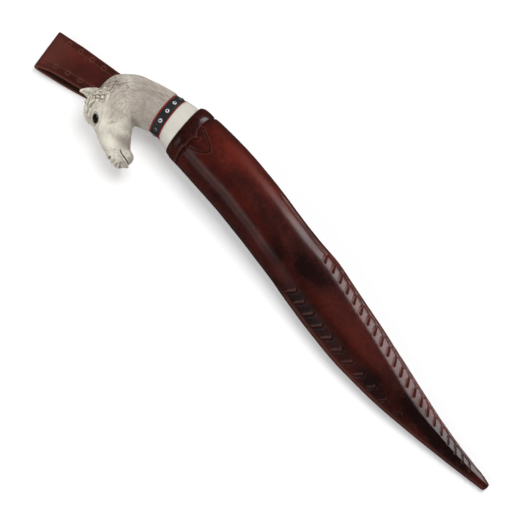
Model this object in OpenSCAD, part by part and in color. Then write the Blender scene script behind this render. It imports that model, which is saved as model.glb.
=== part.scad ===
// Sheathed knife with a carved horse-head handle and a leather belt loop. Millimetres.
// X runs from the sheath's tip to the belt loop, Y towards the horse's muzzle, Z up off the table.
// Outline rows are measured from the middle of the sheath's mouth, along the line the knife is drawn.

/* [Part] */
// Node to build

/* [Lying pose] */
// Slope of the draw line above the table, in degrees
lie_slope = 3.47; // [2:0.01:5]
// Height of the draw line above the table, at the mouth
lie_height = 16.7; // [15:0.1:19]
// Distance from the mouth to the middle of the part's length
centre_x = 75.6; // [60:0.1:100]
// Distance from the draw line to the middle of the part's width
centre_y = -12.25; // [-20:0.05:0]

/* [Sheath] */
// Flat back of the pocket, below the draw line
back_flat = 11.6; // [10:0.1:13]
// The same inside the pocket
pocket_flat = 9.9; // [9:0.1:11]
// Slip between the liner and the leather
liner_gap = 0.08; // [0.02:0.01:0.3]
// Length of one stitch of the back seam
stitch_length = 4; // [2:0.5:6]
// Distance from stitch to stitch
stitch_pitch = 6; // [4:0.5:10]
// Thread diameter
thread = 0.9; // [0.5:0.1:1.5]

/* [Knife] */
// Slant of the mouth, collar and spacers, in degrees
collar_slant = 13.7; // [0:0.1:20]
// Lean of the collar's top towards the head, in degrees
collar_lean = 4.5; // [0:0.5:8]
// Tang width
tang_width = 6; // [4:0.5:8]
// Tang thickness
tang_thickness = 3; // [2:0.1:4]
// Far end of the tang, inside the head
tang_end = 25; // [18:1:28]
// Middle of the tang across the handle
tang_y = 2.5; // [0:0.1:5]
// Slip around the tang
tang_gap = 0.05; // [0.02:0.01:0.2]
// Thickness of the red spacers
spacer_thickness = 0.75; // [0.5:0.05:1.5]
// Width of the black collar band
band_width = 5.05; // [3:0.05:8]
// Studs around the band
stud_count = 12; // [8:1:16]
// Stud radius
stud_radius = 1.15; // [0.8:0.05:1.6]
// Bolster thickness
bolster_thickness = 3.2; // [2:0.1:5]

/* [Belt loop] */
// Strap thickness
strap = 2.4; // [1.5:0.1:3.5]
// Direction of the loop from the draw line, in degrees
loop_angle = 16.8; // [0:0.1:30]
// Middle of the loop across the mouth
loop_y = 1.5; // [-3:0.1:6]
// Loop length from its bending line to the fold
loop_length = 85.7; // [60:0.1:100]
// Greatest height of the loop
loop_height = 9.9; // [8:0.1:12]
// Outer radius of the fold
fold_radius = 3; // [2.6:0.1:5]
// Height of the fold's middle
fold_middle = 4.9; // [3:0.1:6]
// Distance from the bending line to the greatest height
loop_peak = 62; // [50:1:68]
// Extra width of the under layer, on the muzzle side
under_spread = 1; // [0:0.1:2]
// Slip at the bending line
bend_gap = 0.3; // [0.2:0.05:0.6]

/* [Hidden] */
$fn = 48;
touch = 0.01;
ring_points = 36;
head_points = 24;

// Positions along the slanted stack
stack_start = 7.5;
band_start = stack_start + spacer_thickness;
band_end = band_start + band_width;
band_across = 1.22;
band_half_width = 11.8;
band_half_height = 9.6;

// Positions along the draw line
grip_front = -83.2;
bolster_back = grip_front - spacer_thickness;
blade_heel = bolster_back - bolster_thickness;
bolster_y = 1.2;
bolster_half_width = 9.8;
bolster_half_height = 8.2;

// Colours
leather_red = [0.28, 0.09, 0.07];
strap_red = [0.27, 0.11, 0.09];
wood = [0.62, 0.47, 0.30];
thread_brown = [0.16, 0.07, 0.05];
brass = [0.72, 0.56, 0.28];
steel = [0.72, 0.73, 0.75];
fibre_red = [0.50, 0.12, 0.08];
band_black = [0.05, 0.05, 0.06];
bone = [0.85, 0.81, 0.73];
antler = [0.74, 0.70, 0.65];
eye_black = [0.03, 0.02, 0.02];

// A section row: right edge x and y, left edge x and y, front height, back depth,
// front roundness, back roundness. Roundness 2 is an ellipse, and less is a roof.
// A ninth value leans the section's top forward, in degrees.
sheath_rows = [
    [-236.6, 0.2, -236.6, 1.4, 1.0, 0.9, 2.0, 2.0],
    [-235.8, -1.2, -235.8, 2.6, 2.1, 2.0, 1.9, 2.2],
    [-231, -2.2, -231, 4.1, 2.9, 2.5, 1.8, 2.5],
    [-224, -2.3, -224, 5.7, 3.3, 2.8, 1.7, 2.6],
    [-210, -2.9, -210, 8.8, 4.0, 3.4, 1.6, 2.6],
    [-192, -4.5, -192, 12.5, 4.9, 4.1, 1.6, 2.6],
    [-174, -6.9, -174, 15.7, 5.8, 4.8, 1.6, 2.6],
    [-156, -9.3, -156, 18.0, 6.6, 5.5, 1.6, 2.6],
    [-138, -11.5, -138, 19.1, 7.3, 6.3, 1.7, 2.6],
    [-120, -13.4, -120, 18.9, 8.2, 7.2, 1.8, 2.6],
    [-104, -15.0, -104, 18.0, 9.6, 8.5, 2.0, 2.5],
    [-90, -15.0, -90, 16.8, 11.2, 10.4, 2.2, 2.4],
    [-76, -15.3, -77, 16.2, 12.2, 11.6, 2.3, 2.3],
    [-60, -16.2, -62, 15.5, 13.0, 12.6, 2.3, 2.3],
    [-42, -16.7, -46, 15.2, 13.4, 13.2, 2.3, 2.3],
    [-26, -16.1, -31, 15.5, 13.5, 13.4, 2.3, 2.3],
    [-12, -14.9, -18, 15.9, 13.3, 13.4, 2.3, 2.3],
    [-5.2, -14.0, -10.8, 16.3, 12.9, 13.2, 2.3, 2.3],
    [-1.5, -13.7, -6.5, 16.9, 13.4, 13.4, 2.3, 2.3],
    [1.6, -13.0, -3.2, 17.1, 13.3, 13.4, 2.3, 2.3],
    [2.9, -12.2, -2.0, 16.9, 12.5, 12.9, 2.3, 2.3]
];
pocket_rows = [
    [3.1, -11.5, -2.3, 16.25, 11.3, 11.4, 2.3, 2.3],
    [-4.8, -12.2, -10.6, 14.95, 11.2, 11.4, 2.3, 2.3],
    [-12, -13.0, -18, 14.4, 11.2, 11.4, 2.3, 2.3],
    [-26, -14.2, -31, 13.6, 11.3, 11.4, 2.3, 2.3],
    [-42, -14.8, -46, 13.25, 11.3, 11.3, 2.3, 2.3],
    [-60, -14.3, -62, 13.5, 10.9, 10.7, 2.3, 2.3],
    [-76, -13.4, -77, 14.2, 10.2, 9.8, 2.3, 2.3],
    [-89, -13.0, -89, 14.9, 9.4, 8.7, 2.2, 2.4],
    [-104, -13.0, -104, 16.1, 7.7, 6.8, 2.0, 2.5],
    [-120, -11.4, -120, 17.0, 6.4, 5.5, 1.9, 2.6],
    [-138, -9.5, -138, 17.1, 5.5, 4.6, 1.8, 2.6],
    [-156, -7.3, -156, 16.0, 4.8, 3.9, 1.7, 2.6],
    [-174, -4.9, -174, 13.7, 4.1, 3.2, 1.7, 2.6],
    [-192, -2.6, -192, 10.6, 3.3, 2.6, 1.7, 2.6],
    [-204, -1.5, -204, 8.3, 2.8, 2.2, 1.7, 2.6],
    [-211, -0.9, -211, 6.9, 2.5, 1.9, 1.7, 2.6]
];
liner_rows = [
    for (i = [7 : len(pocket_rows) - 1])
        pocket_rows[i] + liner_gap * [0, 1, 0, -1, -1, -1, 0, 0]
];
grip_rows = [
    [grip_front, -8.6, grip_front, 11.0, 8.4, 8.0, 2.1, 2.1, 0],
    [-70, -9.6, -70, 11.8, 9.3, 8.8, 2.1, 2.1, 0],
    [-50, -10.6, -51, 12.6, 10.3, 9.5, 2.2, 2.2, 0],
    [-30, -11.0, -33, 13.0, 10.8, 9.6, 2.2, 2.2, 0],
    [-8, -10.9, -14, 14.1, 10.9, 9.6, 2.2, 2.2, 0],
    [3.54, -10.21, -2.84, 15.9, 10.7, 9.6, 2.2, 2.2, 1],
    [6.6, -9.5, 0.7, 15.3, 10.3, 9.5, 2.2, 2.2, 3],
    [9.82, -8.74, 4.14, 14.7, 9.8, 9.4, 2.1, 2.1, collar_lean]
];

// A blade row: x, back of the blade, start of the bevel, cutting edge, half thickness
blade_rows = [
    [-203, 3.6, 3.9, 4.3, 0.35],
    [-198, 2.3, 3.9, 6.3, 0.8],
    [-188, 0.9, 4.2, 8.6, 1.1],
    [-174, -1.0, 4.4, 10.5, 1.3],
    [-156, -3.1, 4.4, 11.6, 1.45],
    [-138, -4.8, 4.1, 11.8, 1.55],
    [-118, -6.2, 3.4, 11.3, 1.6],
    [-98, -7.1, 2.6, 10.2, 1.6],
    [blade_heel, -7.4, 2.2, 9.6, 1.6]
];
blade_edge = 0.08;

// A row of the liner's slot for the blade: x, right side, left side, half height
slot_rows = [
    [-212, 3.0, 4.6, 0.9],
    [-203, 2.6, 5.4, 0.95],
    [-198, 1.7, 6.8, 1.15],
    [-188, 0.5, 9.1, 1.5],
    [-174, -1.4, 10.9, 1.65],
    [-156, -3.5, 12.0, 1.8],
    [-138, -5.2, 12.2, 1.87],
    [-118, -6.6, 12.2, 1.95],
    [-88, -7.85, 12.2, 1.95]
];

// A head row: crest side x and y, throat side x and y, half thickness, forward lean
head_rows = [
    [16.15, -7.0, 10.6, 15.9, 9.5, collar_lean],
    [21.0, -5.6, 12.3, 17.0, 9.8, 2],
    [27.6, -2.8, 14.6, 18.4, 9.9, 0],
    [33.4, 0.0, 16.2, 19.4, 9.8, 0],
    [38.6, 4.1, 17.0, 20.2, 9.5, 0],
    [42.6, 9.1, 17.2, 20.8, 9.2, 0],
    [44.3, 14.9, 17.1, 21.3, 9.2, 0],
    [44.1, 21.0, 16.9, 21.8, 9.4, 0],
    [43.0, 27.4, 16.5, 22.3, 9.5, 0],
    [41.6, 31.6, 15.7, 23.2, 9.6, 0],
    [38.3, 35.1, 14.6, 24.3, 9.6, 0],
    [33.9, 37.3, 13.0, 25.8, 9.4, 0],
    [28.7, 37.2, 11.2, 27.4, 8.9, 0],
    [23.7, 38.7, 9.4, 28.8, 8.0, 0],
    [18.7, 40.2, 7.4, 29.8, 7.0, 0],
    [14.3, 41.2, 5.3, 30.8, 6.5, 0],
    [11.0, 41.6, 4.1, 32.0, 6.2, 0],
    [8.4, 41.6, 3.4, 33.8, 5.6, 0],
    [6.2, 40.8, 3.1, 35.7, 4.2, 0],
    [4.9, 39.6, 3.4, 37.1, 2.2, 0]
];
eye_place = [30.9, 34.3, 6.8];
eye_turn = 143;
eye_radius = 1.6;
eye_length = 2.7;

function bulge(c, roundness) = sign(c) * pow(abs(c), 2 / roundness);

function between(rows, i, t) =
    let(
        a = rows[max(i - 1, 0)],
        b = rows[i],
        c = rows[i + 1],
        d = rows[min(i + 2, len(rows) - 1)]
    )
    (
        2 * b
        + (c - a) * t
        + (2 * a - 5 * b + 4 * c - d) * t * t
        + (3 * b - a - 3 * c + d) * t * t * t
    ) / 2;

function smooth(rows, steps) =
    concat(
        [for (i = [0 : len(rows) - 2]) for (k = [0 : steps - 1]) between(rows, i, k / steps)],
        [rows[len(rows) - 1]]
    );

function arc_points(row, flat, first, last, count) =
    [for (k = [0 : count - 1])
        let(
            a = first + (last - first) * k / (count - 1),
            u = bulge(cos(a), sin(a) >= 0 ? row[6] : row[7]),
            v = bulge(sin(a), sin(a) >= 0 ? row[6] : row[7]),
            z = v >= 0 ? row[4] * v : max(row[5] * v, -flat),
            width = norm([row[2] - row[0], row[3] - row[1]]),
            forward = len(row) > 8 ? z * tan(row[8]) / width : 0
        )
        [
            (row[0] + row[2]) / 2 + (row[2] - row[0]) / 2 * u + (row[3] - row[1]) * forward,
            (row[1] + row[3]) / 2 + (row[3] - row[1]) / 2 * u - (row[2] - row[0]) * forward,
            z
        ]
    ];

function ring(row, flat, count) = arc_points(row, flat, 0, 360 - 360 / count, count);

function reversed(list) = [for (i = [len(list) - 1 : -1 : 0]) list[i]];

// Skin over a run of rings, closed by its first and last ring
module loft(rings) {
    count = len(rings[0]);
    last = len(rings) - 1;
    sides = [
        for (i = [0 : last - 1])
            for (k = [0 : count - 1])
                let(a = i * count + k, b = i * count + (k + 1) % count)
                each [[a, a + count, b + count], [a, b + count, b]]
    ];
    first_cap = [for (k = [0 : count - 1]) k];
    last_cap = [for (k = [count - 1 : -1 : 0]) last * count + k];
    polyhedron(
        points = [for (r = rings) each r],
        faces = concat(sides, [first_cap, last_cap]),
        convexity = 6
    );
}

// From the table under the mouth to the row's origin
module on_table() {
    translate([centre_x, centre_y, 0])
        children();
}

// From the draw line to the row's origin
module laid() {
    on_table()
        translate([0, 0, lie_height])
            rotate([0, -lie_slope, 0])
                children();
}

module tang(gap) {
    translate([blade_heel - 3, tang_y - tang_width / 2 - gap, -tang_thickness / 2 - gap])
        cube([tang_end - blade_heel + 3 + gap, tang_width + 2 * gap, tang_thickness + 2 * gap]);
}

// An oval slice of the slanted stack
module slice(start, thickness, across, half_width, half_height) {
    difference() {
        rotate([0, 0, collar_slant])
            translate([start, across, 0])
                rotate([0, 90 + collar_lean, 0])
                    scale([half_height / half_width, 1, 1])
                        cylinder(r = half_width, h = thickness * cos(collar_lean));
        tang(tang_gap);
    }
}

module sheath_leather() {
    outside = [for (r = smooth(sheath_rows, 2)) ring(r, back_flat, ring_points)];
    inside = [for (r = smooth(pocket_rows, 2)) ring(r, pocket_flat, ring_points)];
    color(leather_red)
        laid()
            loft(concat(outside, inside));
}

module blade_slot() {
    loft([
        for (r = slot_rows)
            [[r[0], r[2], r[3]], [r[0], r[1], r[3]], [r[0], r[1], -r[3]], [r[0], r[2], -r[3]]]
    ]);
}

// The half of the liner that fills the pocket between two angles, lifted off its other half
module liner_half(first, last, lift) {
    rings = [
        for (r = reversed(smooth(liner_rows, 2)))
            [for (p = arc_points(r, pocket_flat, first, last, 19)) p + [0, 0, lift]]
    ];
    color(wood)
        laid()
            difference() {
                loft(rings);
                blade_slot();
            }
}

module blade_liner_front() {
    liner_half(0, 180, touch);
}

module blade_liner_back() {
    liner_half(180, 360, -touch);
}

module back_seam_stitches() {
    middle = [for (r = sheath_rows) [r[0], (r[1] + r[3]) / 2]];
    depth = [for (r = sheath_rows) [r[0], min(r[5], back_flat)]];
    color(thread_brown)
        laid()
            for (x = [-46 : -stitch_pitch : -206]) {
                end = x - stitch_length;
                fall = lookup(x, depth) - lookup(end, depth);
                drift = lookup(end, middle) - lookup(x, middle);
                translate([x, lookup(x, middle), -lookup(x, depth)])
                    rotate([0, -90 + atan(fall / stitch_length), -atan(drift / stitch_length)])
                        cylinder(d = thread, h = stitch_length, $fn = 16);
            }
}

module tail_outline() {
    width = 7;
    across = [-sin(loop_angle), cos(loop_angle)];
    along = [cos(loop_angle), sin(loop_angle)];
    start = [0, loop_y] - along * (strap + bend_gap);
    round_end = [for (a = [100 : 20 : 260]) [-29 + 6.4 * cos(a), -0.3 + 6.4 * sin(a)]];
    polygon(concat(
        [start - across * width, start + across * width, [-9, 7.0]],
        round_end,
        [[-9, -6.4]]
    ));
}

module loop_tail() {
    color(strap_red)
        difference() {
            on_table()
                linear_extrude(height = 8)
                    tail_outline();
            laid()
                translate([-60, -40, -back_flat - touch])
                    cube([80, 80, 30]);
            for (x = [-12, -28])
                on_table()
                    translate([x, 0, -1])
                        cylinder(r = 3.3, h = 2.2);
            for (x = [-12, -28])
                on_table()
                    translate([x, 0, -1])
                        cylinder(r = 1.6, h = 12);
        }
}

module loop_rivets() {
    color(brass)
        for (x = [-12, -28])
            on_table()
                translate([x, 0, 0]) {
                    translate([0, 0, 0.2])
                        cylinder(r = 3.25, h = 0.98);
                    translate([0, 0, 1])
                        cylinder(r = 1.5, h = lie_height - back_flat + x * sin(lie_slope) - 0.2);
                }
}

function ease(t) = let(c = min(max(t, 0), 1)) c * c * (3 - 2 * c);

fold_centre = loop_length - fold_radius;

// Heights of the loop's upper and lower faces above the table
function top_of(u) =
    2 * strap
    + (loop_height - 2 * strap) * ease((u - 8) / (loop_peak - 8))
    - (loop_height - fold_middle - fold_radius) * ease((u - loop_peak) / (fold_centre - loop_peak));

function under_of(u) = (fold_middle - fold_radius) * ease((u - 66) / (fold_centre - 66));

module loop_side() {
    inner = fold_radius - strap;
    nose = [for (a = [90 : 15 : 270]) [strap * cos(a), strap + strap * sin(a)]];
    under = [for (u = [66 : 3 : 81]) [u, under_of(u)]];
    turn = [
        for (a = [-90 : 10 : 90])
            [fold_centre + fold_radius * cos(a), fold_middle + fold_radius * sin(a)]
    ];
    top = [for (u = [80 : -4 : 8]) [u, top_of(u)]];
    inner_under = [for (u = [66 : 3 : 81]) [u, under_of(u) + strap]];
    inner_turn = [
        for (a = [-90 : 30 : 90])
            [fold_centre + inner * cos(a), fold_middle + inner * sin(a)]
    ];
    inner_top = [for (u = [80 : -4 : 16]) [u, top_of(u) - strap]];
    difference() {
        polygon(concat(nose, under, turn, top));
        polygon(concat([[16, strap]], inner_under, inner_turn, inner_top));
    }
}

module belt_loop() {
    color(strap_red)
        on_table()
            translate([0, loop_y, 0])
                rotate([0, 0, loop_angle])
                    intersection() {
                        translate([0, 20, 0])
                            rotate([90, 0, 0])
                                linear_extrude(height = 40)
                                    loop_side();
                        union() {
                            translate([0, 0, fold_middle])
                                linear_extrude(height = 20)
                                    polygon([
                                        [-4, -6.8],
                                        [loop_length + 2, -10.4],
                                        [loop_length + 2, 10.4],
                                        [-4, 6.8]
                                    ]);
                            translate([0, 0, -1])
                                linear_extrude(height = fold_middle + 1)
                                    polygon([
                                        [-4, -6.8],
                                        [loop_length + 2, -10.4],
                                        [loop_length + 2, 10.4],
                                        [fold_centre, 10.3],
                                        [52, 9.2 + under_spread],
                                        [-4, 6.8]
                                    ]);
                        }
                    }
}

module blade() {
    rings = [
        for (r = smooth(blade_rows, 3))
            [
                [r[0], r[3], blade_edge],
                [r[0], r[2], r[4]],
                [r[0], r[1], r[4]],
                [r[0], r[1], -r[4]],
                [r[0], r[2], -r[4]],
                [r[0], r[3], -blade_edge]
            ]
    ];
    color(steel)
        laid() {
            loft(rings);
            tang(0);
        }
}

module oval_plate(start, thickness) {
    difference() {
        translate([start, bolster_y, 0.2])
            rotate([0, 90, 0])
                scale([bolster_half_height / bolster_half_width, 1, 1])
                    cylinder(r = bolster_half_width, h = thickness);
        tang(tang_gap);
    }
}

module bolster() {
    color(brass)
        laid()
            difference() {
                oval_plate(blade_heel + touch, bolster_thickness - 2 * touch);
                translate([blade_heel - 1, 0, 0])
                    cube([1.01, 40, 40], center = true);
            }
}

module bolster_spacer() {
    color(fibre_red)
        laid()
            oval_plate(bolster_back, spacer_thickness - touch);
}

module grip() {
    rings = [for (r = smooth(grip_rows, 2)) ring(r, 20, ring_points)];
    color(bone)
        laid()
            difference() {
                loft(rings);
                tang(tang_gap);
            }
}

module lower_red_spacer() {
    color(fibre_red)
        laid()
            slice(stack_start + touch, spacer_thickness - touch, 1.25, 12.1, 9.7);
}

module collar_band() {
    color(band_black)
        laid()
            slice(band_start + touch, band_width - touch, band_across, band_half_width, band_half_height);
}

module collar_studs() {
    color([0.8, 0.8, 0.82])
        laid()
            rotate([0, 0, collar_slant])
                for (k = [0 : stud_count - 1]) {
                    a = 360 * k / stud_count;
                    translate([band_start, band_across, 0])
                        rotate([0, collar_lean, 0])
                            translate([band_width / 2, band_half_width * cos(a), band_half_height * sin(a)])
                                rotate([-atan2(band_half_height * cos(a), band_half_width * sin(a)), 0, 0]) {
                                    translate([0, 0, -0.6])
                                        sphere(r = stud_radius, $fn = 24);
                                    translate([0, 0, -3])
                                        cylinder(r = 0.45, h = 3, $fn = 16);
                                }
                }
}

module upper_red_spacer() {
    color(fibre_red)
        laid()
            slice(band_end + touch, spacer_thickness - 2 * touch, 1.2, 11.7, 9.7);
}

module ear(side) {
    base = [40.2, 26.4, 5.4 * side];
    middle = [44.0, 28.6, 7.0 * side];
    point = [47.2, 31.6, 8.2 * side];
    rings = [
        [for (a = [0 : 30 : 330]) base + [1.2 * sin(a), 4.6 * cos(a), 2.6 * sin(a)]],
        [for (a = [0 : 30 : 330]) middle + [-1.6 * cos(a), 3.0 * cos(a), 2.1 * sin(a)]],
        [for (a = [0 : 30 : 330]) point + [-0.4 * cos(a), 0.5 * cos(a), 0.4 * sin(a)]]
    ];
    loft(rings);
}

module horse_head() {
    rings = [
        for (r = smooth(head_rows, 2))
            ring([r[0], r[1], r[2], r[3], r[4], r[4], 2.2, 2.2, r[5]], 20, head_points)
    ];
    color(antler)
        laid() {
            difference() {
                loft(rings);
                tang(tang_gap);
            }
            ear(1);
            ear(-1);
        }
}

module eyeball(side) {
    color(eye_black)
        laid()
            translate([eye_place[0], eye_place[1], eye_place[2] * side])
                rotate([0, 0, eye_turn])
                    scale([eye_length / eye_radius, 1, 1])
                        sphere(r = eye_radius, $fn = 32);
}

module eye_left() {
    eyeball(1);
}

module eye_right() {
    eyeball(-1);
}

sheath_leather();
blade_liner_front();
blade_liner_back();
back_seam_stitches();
loop_tail();
loop_rivets();
belt_loop();
blade();
bolster();
bolster_spacer();
grip();
lower_red_spacer();
collar_band();
collar_studs();
upper_red_spacer();
horse_head();
eye_left();
eye_right();
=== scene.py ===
import math

import bmesh
import bpy
import numpy as np
from mathutils import Matrix, Vector
from mathutils.geometry import delaunay_2d_cdt


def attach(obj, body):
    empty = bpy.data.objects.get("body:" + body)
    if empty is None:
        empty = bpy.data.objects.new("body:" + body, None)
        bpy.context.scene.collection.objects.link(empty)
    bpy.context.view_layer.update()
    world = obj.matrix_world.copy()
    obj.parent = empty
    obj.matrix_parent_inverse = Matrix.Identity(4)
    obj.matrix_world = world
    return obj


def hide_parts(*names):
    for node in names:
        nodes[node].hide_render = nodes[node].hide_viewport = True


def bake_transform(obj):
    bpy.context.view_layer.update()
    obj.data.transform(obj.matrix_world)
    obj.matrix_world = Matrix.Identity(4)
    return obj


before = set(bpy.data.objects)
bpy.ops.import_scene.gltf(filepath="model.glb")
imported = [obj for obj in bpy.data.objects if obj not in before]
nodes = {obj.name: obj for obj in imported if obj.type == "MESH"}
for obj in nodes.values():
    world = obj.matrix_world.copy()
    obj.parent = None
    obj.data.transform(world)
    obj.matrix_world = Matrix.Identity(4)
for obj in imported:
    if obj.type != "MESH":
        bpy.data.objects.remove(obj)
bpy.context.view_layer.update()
scene = bpy.context.scene
scene.view_settings.view_transform = "Standard"

# Shapes are worked out in millimetres from the middle of the sheath's mouth, along the draw line.
MM = 0.001
LIE_SLOPE = math.radians(3.47)
MOUTH = (75.6, -12.25, 16.7)
COLLAR_SLANT = math.radians(13.7)
COLLAR_LEAN = math.radians(4.5)
LOOP_ANGLE = math.radians(16.8)
LOOP_Y = 1.5
BACK_FLAT = 11.6
POCKET_FLAT = 9.9


def place(points):
    """Mouth frame in millimetres to the row frame in metres."""
    p = np.asarray(points, float)
    x = p[..., 0] * math.cos(LIE_SLOPE) - p[..., 2] * math.sin(LIE_SLOPE) + MOUTH[0]
    z = p[..., 0] * math.sin(LIE_SLOPE) + p[..., 2] * math.cos(LIE_SLOPE) + MOUTH[2]
    return np.stack([x, p[..., 1] + MOUTH[1], z], -1) * MM


# ---------------------------------------------------------------- camera and light
VIEW_TURN = math.radians(-39.278)
VIEW_HEIGHT = math.radians(74)
CAMERA_AWAY = 1.3
FIELD_WIDTH = 0.26462
SENSOR = 36
TARGET = Vector((-2.165, 1.608, 8)) * MM
UP = Vector((math.cos(VIEW_TURN), math.sin(VIEW_TURN), 0))
RIGHT = Vector((math.sin(VIEW_TURN), -math.cos(VIEW_TURN), 0))
HIGH = Vector((0, 0, 1))


def add_object(name, data):
    thing = bpy.data.objects.new(name, data)
    scene.collection.objects.link(thing)
    return thing


def make_camera():
    back = HIGH * math.sin(VIEW_HEIGHT) - UP * math.cos(VIEW_HEIGHT)
    top = UP * math.sin(VIEW_HEIGHT) + HIGH * math.cos(VIEW_HEIGHT)
    camera = add_object("camera", bpy.data.cameras.new("camera"))
    camera.data.sensor_width = SENSOR
    camera.data.lens = SENSOR * CAMERA_AWAY / FIELD_WIDTH
    camera.data.clip_end = 20
    camera.matrix_world = Matrix((RIGHT, top, back)).transposed().to_4x4()
    camera.matrix_world.translation = TARGET + back * CAMERA_AWAY
    scene.camera = camera


def area_light(name, right, up, high, width, height, watts, mirrored=True, lighting=True):
    """A soft box at a place given in the view's own directions, aimed at the knife."""
    data = bpy.data.lights.new(name, "AREA")
    data.shape = "RECTANGLE"
    data.size = width
    data.size_y = height
    data.energy = watts
    light = add_object(name, data)
    light.location = RIGHT * right + UP * up + HIGH * high
    light.rotation_mode = "QUATERNION"
    light.rotation_quaternion = (light.location - TARGET).to_track_quat("Z", "Y")
    light.visible_glossy = mirrored
    light.visible_diffuse = lighting


make_camera()
area_light("overhead", 0.30, 0.16, 1.35, 0.7, 0.7, 11.8, mirrored=False)
area_light("left_fill", -1.1, -0.65, 0.75, 1.0, 1.0, 12.5, mirrored=False)
area_light("right_fill", 1.0, 0.75, 0.8, 0.8, 0.8, 3, mirrored=False)
area_light("key", -0.35, 0.90, 0.95, 0.5, 0.5, 2.6, mirrored=False)
area_light("right_box", 1.08, 0.70, 0.55, 0.42, 0.80, 5.4)
area_light("left_box", -1.09, -0.475, 0.69, 0.40, 0.40, 0.34, lighting=False)
area_light("left_high_box", -0.82, -0.36, 1.08, 0.40, 0.34, 0.50, lighting=False)

world = bpy.data.worlds.new("studio")
scene.world = world
world.use_nodes = True
world.node_tree.nodes["Background"].inputs["Color"].default_value = (1, 1, 1, 1)
world.node_tree.nodes["Background"].inputs["Strength"].default_value = 0.04


# ---------------------------------------------------------------- curves and meshes
def spline(rows, t):
    """Catmull-Rom through the rows at the places t, as the CAD part has it."""
    rows = np.asarray(rows, float)
    t = np.asarray(t, float)
    i = np.clip(np.floor(t).astype(int), 0, len(rows) - 2)
    f = (t - i)[:, None]
    a = rows[np.maximum(i - 1, 0)]
    b = rows[i]
    c = rows[i + 1]
    d = rows[np.minimum(i + 2, len(rows) - 1)]
    return (2 * b + (c - a) * f + (2 * a - 5 * b + 4 * c - d) * f**2 + (3 * b - a - 3 * c + d)
        * f**3) / 2


def smooth_line(points, count):
    return spline(points, np.linspace(0, len(points) - 1, count))


def even_rows(rows, count):
    """Rows spaced evenly along the line between their two edges."""
    t = np.linspace(0, len(rows) - 1, 6000)
    r = spline(rows, t)
    middle = (r[:, 0:2] + r[:, 2:4]) / 2
    run = np.concatenate([[0], np.cumsum(np.linalg.norm(np.diff(middle, axis=0), axis=1))])
    return spline(rows, np.interp(np.linspace(0, run[-1], count), run, t))


def bulge(c, power):
    return np.sign(c) * np.abs(c) ** power


def ease(t):
    c = np.clip(t, 0, 1)
    return c * c * (3 - 2 * c)


def bump(x, middle, width):
    """A soft ridge, 1 in its middle."""
    return np.exp(-(((x - middle) / width) ** 2))


def spot(xy, x, y, length, breadth):
    """A soft oval spot, 1 in its middle."""
    return np.exp(-(((xy[:, 0] - x) / length) ** 2) - ((xy[:, 1] - y) / breadth) ** 2)


def circle(count):
    """Angles spaced evenly round a circle."""
    return np.linspace(0, 2 * math.pi, count, endpoint=False)


def taper(share, start, end):
    """Fades a line in over its first share and out over its last."""
    fade = np.ones(len(share))
    if start:
        fade = fade * ease(share / start)
    if end:
        fade = fade * ease((1 - share) / end)
    return fade


def section_rings(rows, angles, flat, shape=None):
    """Points of each row's section. shape may set the front's height, from u = -1 right to 1 left."""
    c, s = np.cos(angles)[None], np.sin(angles)[None]
    x1, y1, x2, y2, high, deep, front_power, back_power = (rows[:, k:k + 1] for k in range(8))
    front = np.broadcast_to(s >= 0, (len(rows), len(angles)))
    power = np.where(front, 2 / front_power, 2 / back_power)
    u = bulge(c, power)
    v = bulge(s, power)
    if shape is not None:
        v = np.where(front, shape(rows, u, v), v)
    z = np.where(v >= 0, high * v, np.maximum(deep * v, -flat))
    x = (x1 + x2) / 2 + (x2 - x1) / 2 * u
    y = (y1 + y2) / 2 + (y2 - y1) / 2 * u
    if rows.shape[1] > 8:
        forward = z * np.tan(np.radians(rows[:, 8:9])) / np.hypot(x2 - x1, y2 - y1)
        x = x + (y2 - y1) * forward
        y = y - (x2 - x1) * forward
    return np.stack([x, y, z], -1), front


def grid_faces(count, around, start=0):
    """Faces between rings of points, each ring closed."""
    i = np.arange(count - 1)[:, None] * around
    k = np.arange(around)[None]
    after = (k + 1) % around
    quads = np.stack([i + k, i + around + k, i + around + after, i + after], -1)
    return (quads.reshape(-1, 4) + start).tolist()


def capped_faces(count, around, start=0):
    """Faces between closed rings, with a flat cap at each end."""
    first = tuple(start + k for k in range(around))
    last = tuple(start + (count - 1) * around + k for k in reversed(range(around)))
    return grid_faces(count, around, start) + [first, last]


def grid_normals(grid):
    """Outward unit normals of a grid of rings that are closed around."""
    along = np.gradient(grid, axis=0)
    around = np.roll(grid, -1, 1) - np.roll(grid, 1, 1)
    n = np.cross(along, around)
    n /= np.maximum(np.linalg.norm(n, axis=-1, keepdims=True), 1e-9)
    outward = grid - grid.mean(1, keepdims=True)
    if (n * outward).sum() < 0:
        n = -n
    return n


def face_outward(mesh, merge=0):
    """Turns the faces outward, and first joins points closer than merge."""
    work = bmesh.new()
    work.from_mesh(mesh)
    if merge:
        bmesh.ops.remove_doubles(work, verts=work.verts, dist=merge)
    bmesh.ops.recalc_face_normals(work, faces=work.faces)
    work.to_mesh(mesh)
    work.free()


def set_attributes(mesh, attributes):
    for key, values in attributes.items():
        values = np.asarray(values, np.float32)
        kind, field = ("FLOAT", "value") if values.ndim == 1 else ("FLOAT_VECTOR", "vector")
        mesh.attributes.new(key, kind, "POINT").data.foreach_set(field, values.ravel())


def make_mesh(name, points, faces, attributes=None, smooth=True):
    """A mesh object from points in metres. faces is a list of index tuples or lists."""
    mesh = bpy.data.meshes.new(name)
    mesh.from_pydata([tuple(p) for p in np.asarray(points, float)], [], [tuple(f) for f in faces])
    set_attributes(mesh, attributes or {})
    mesh.update()
    face_outward(mesh)
    mesh.polygons.foreach_set("use_smooth", [smooth] * len(mesh.polygons))
    return add_object(name, mesh)


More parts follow.
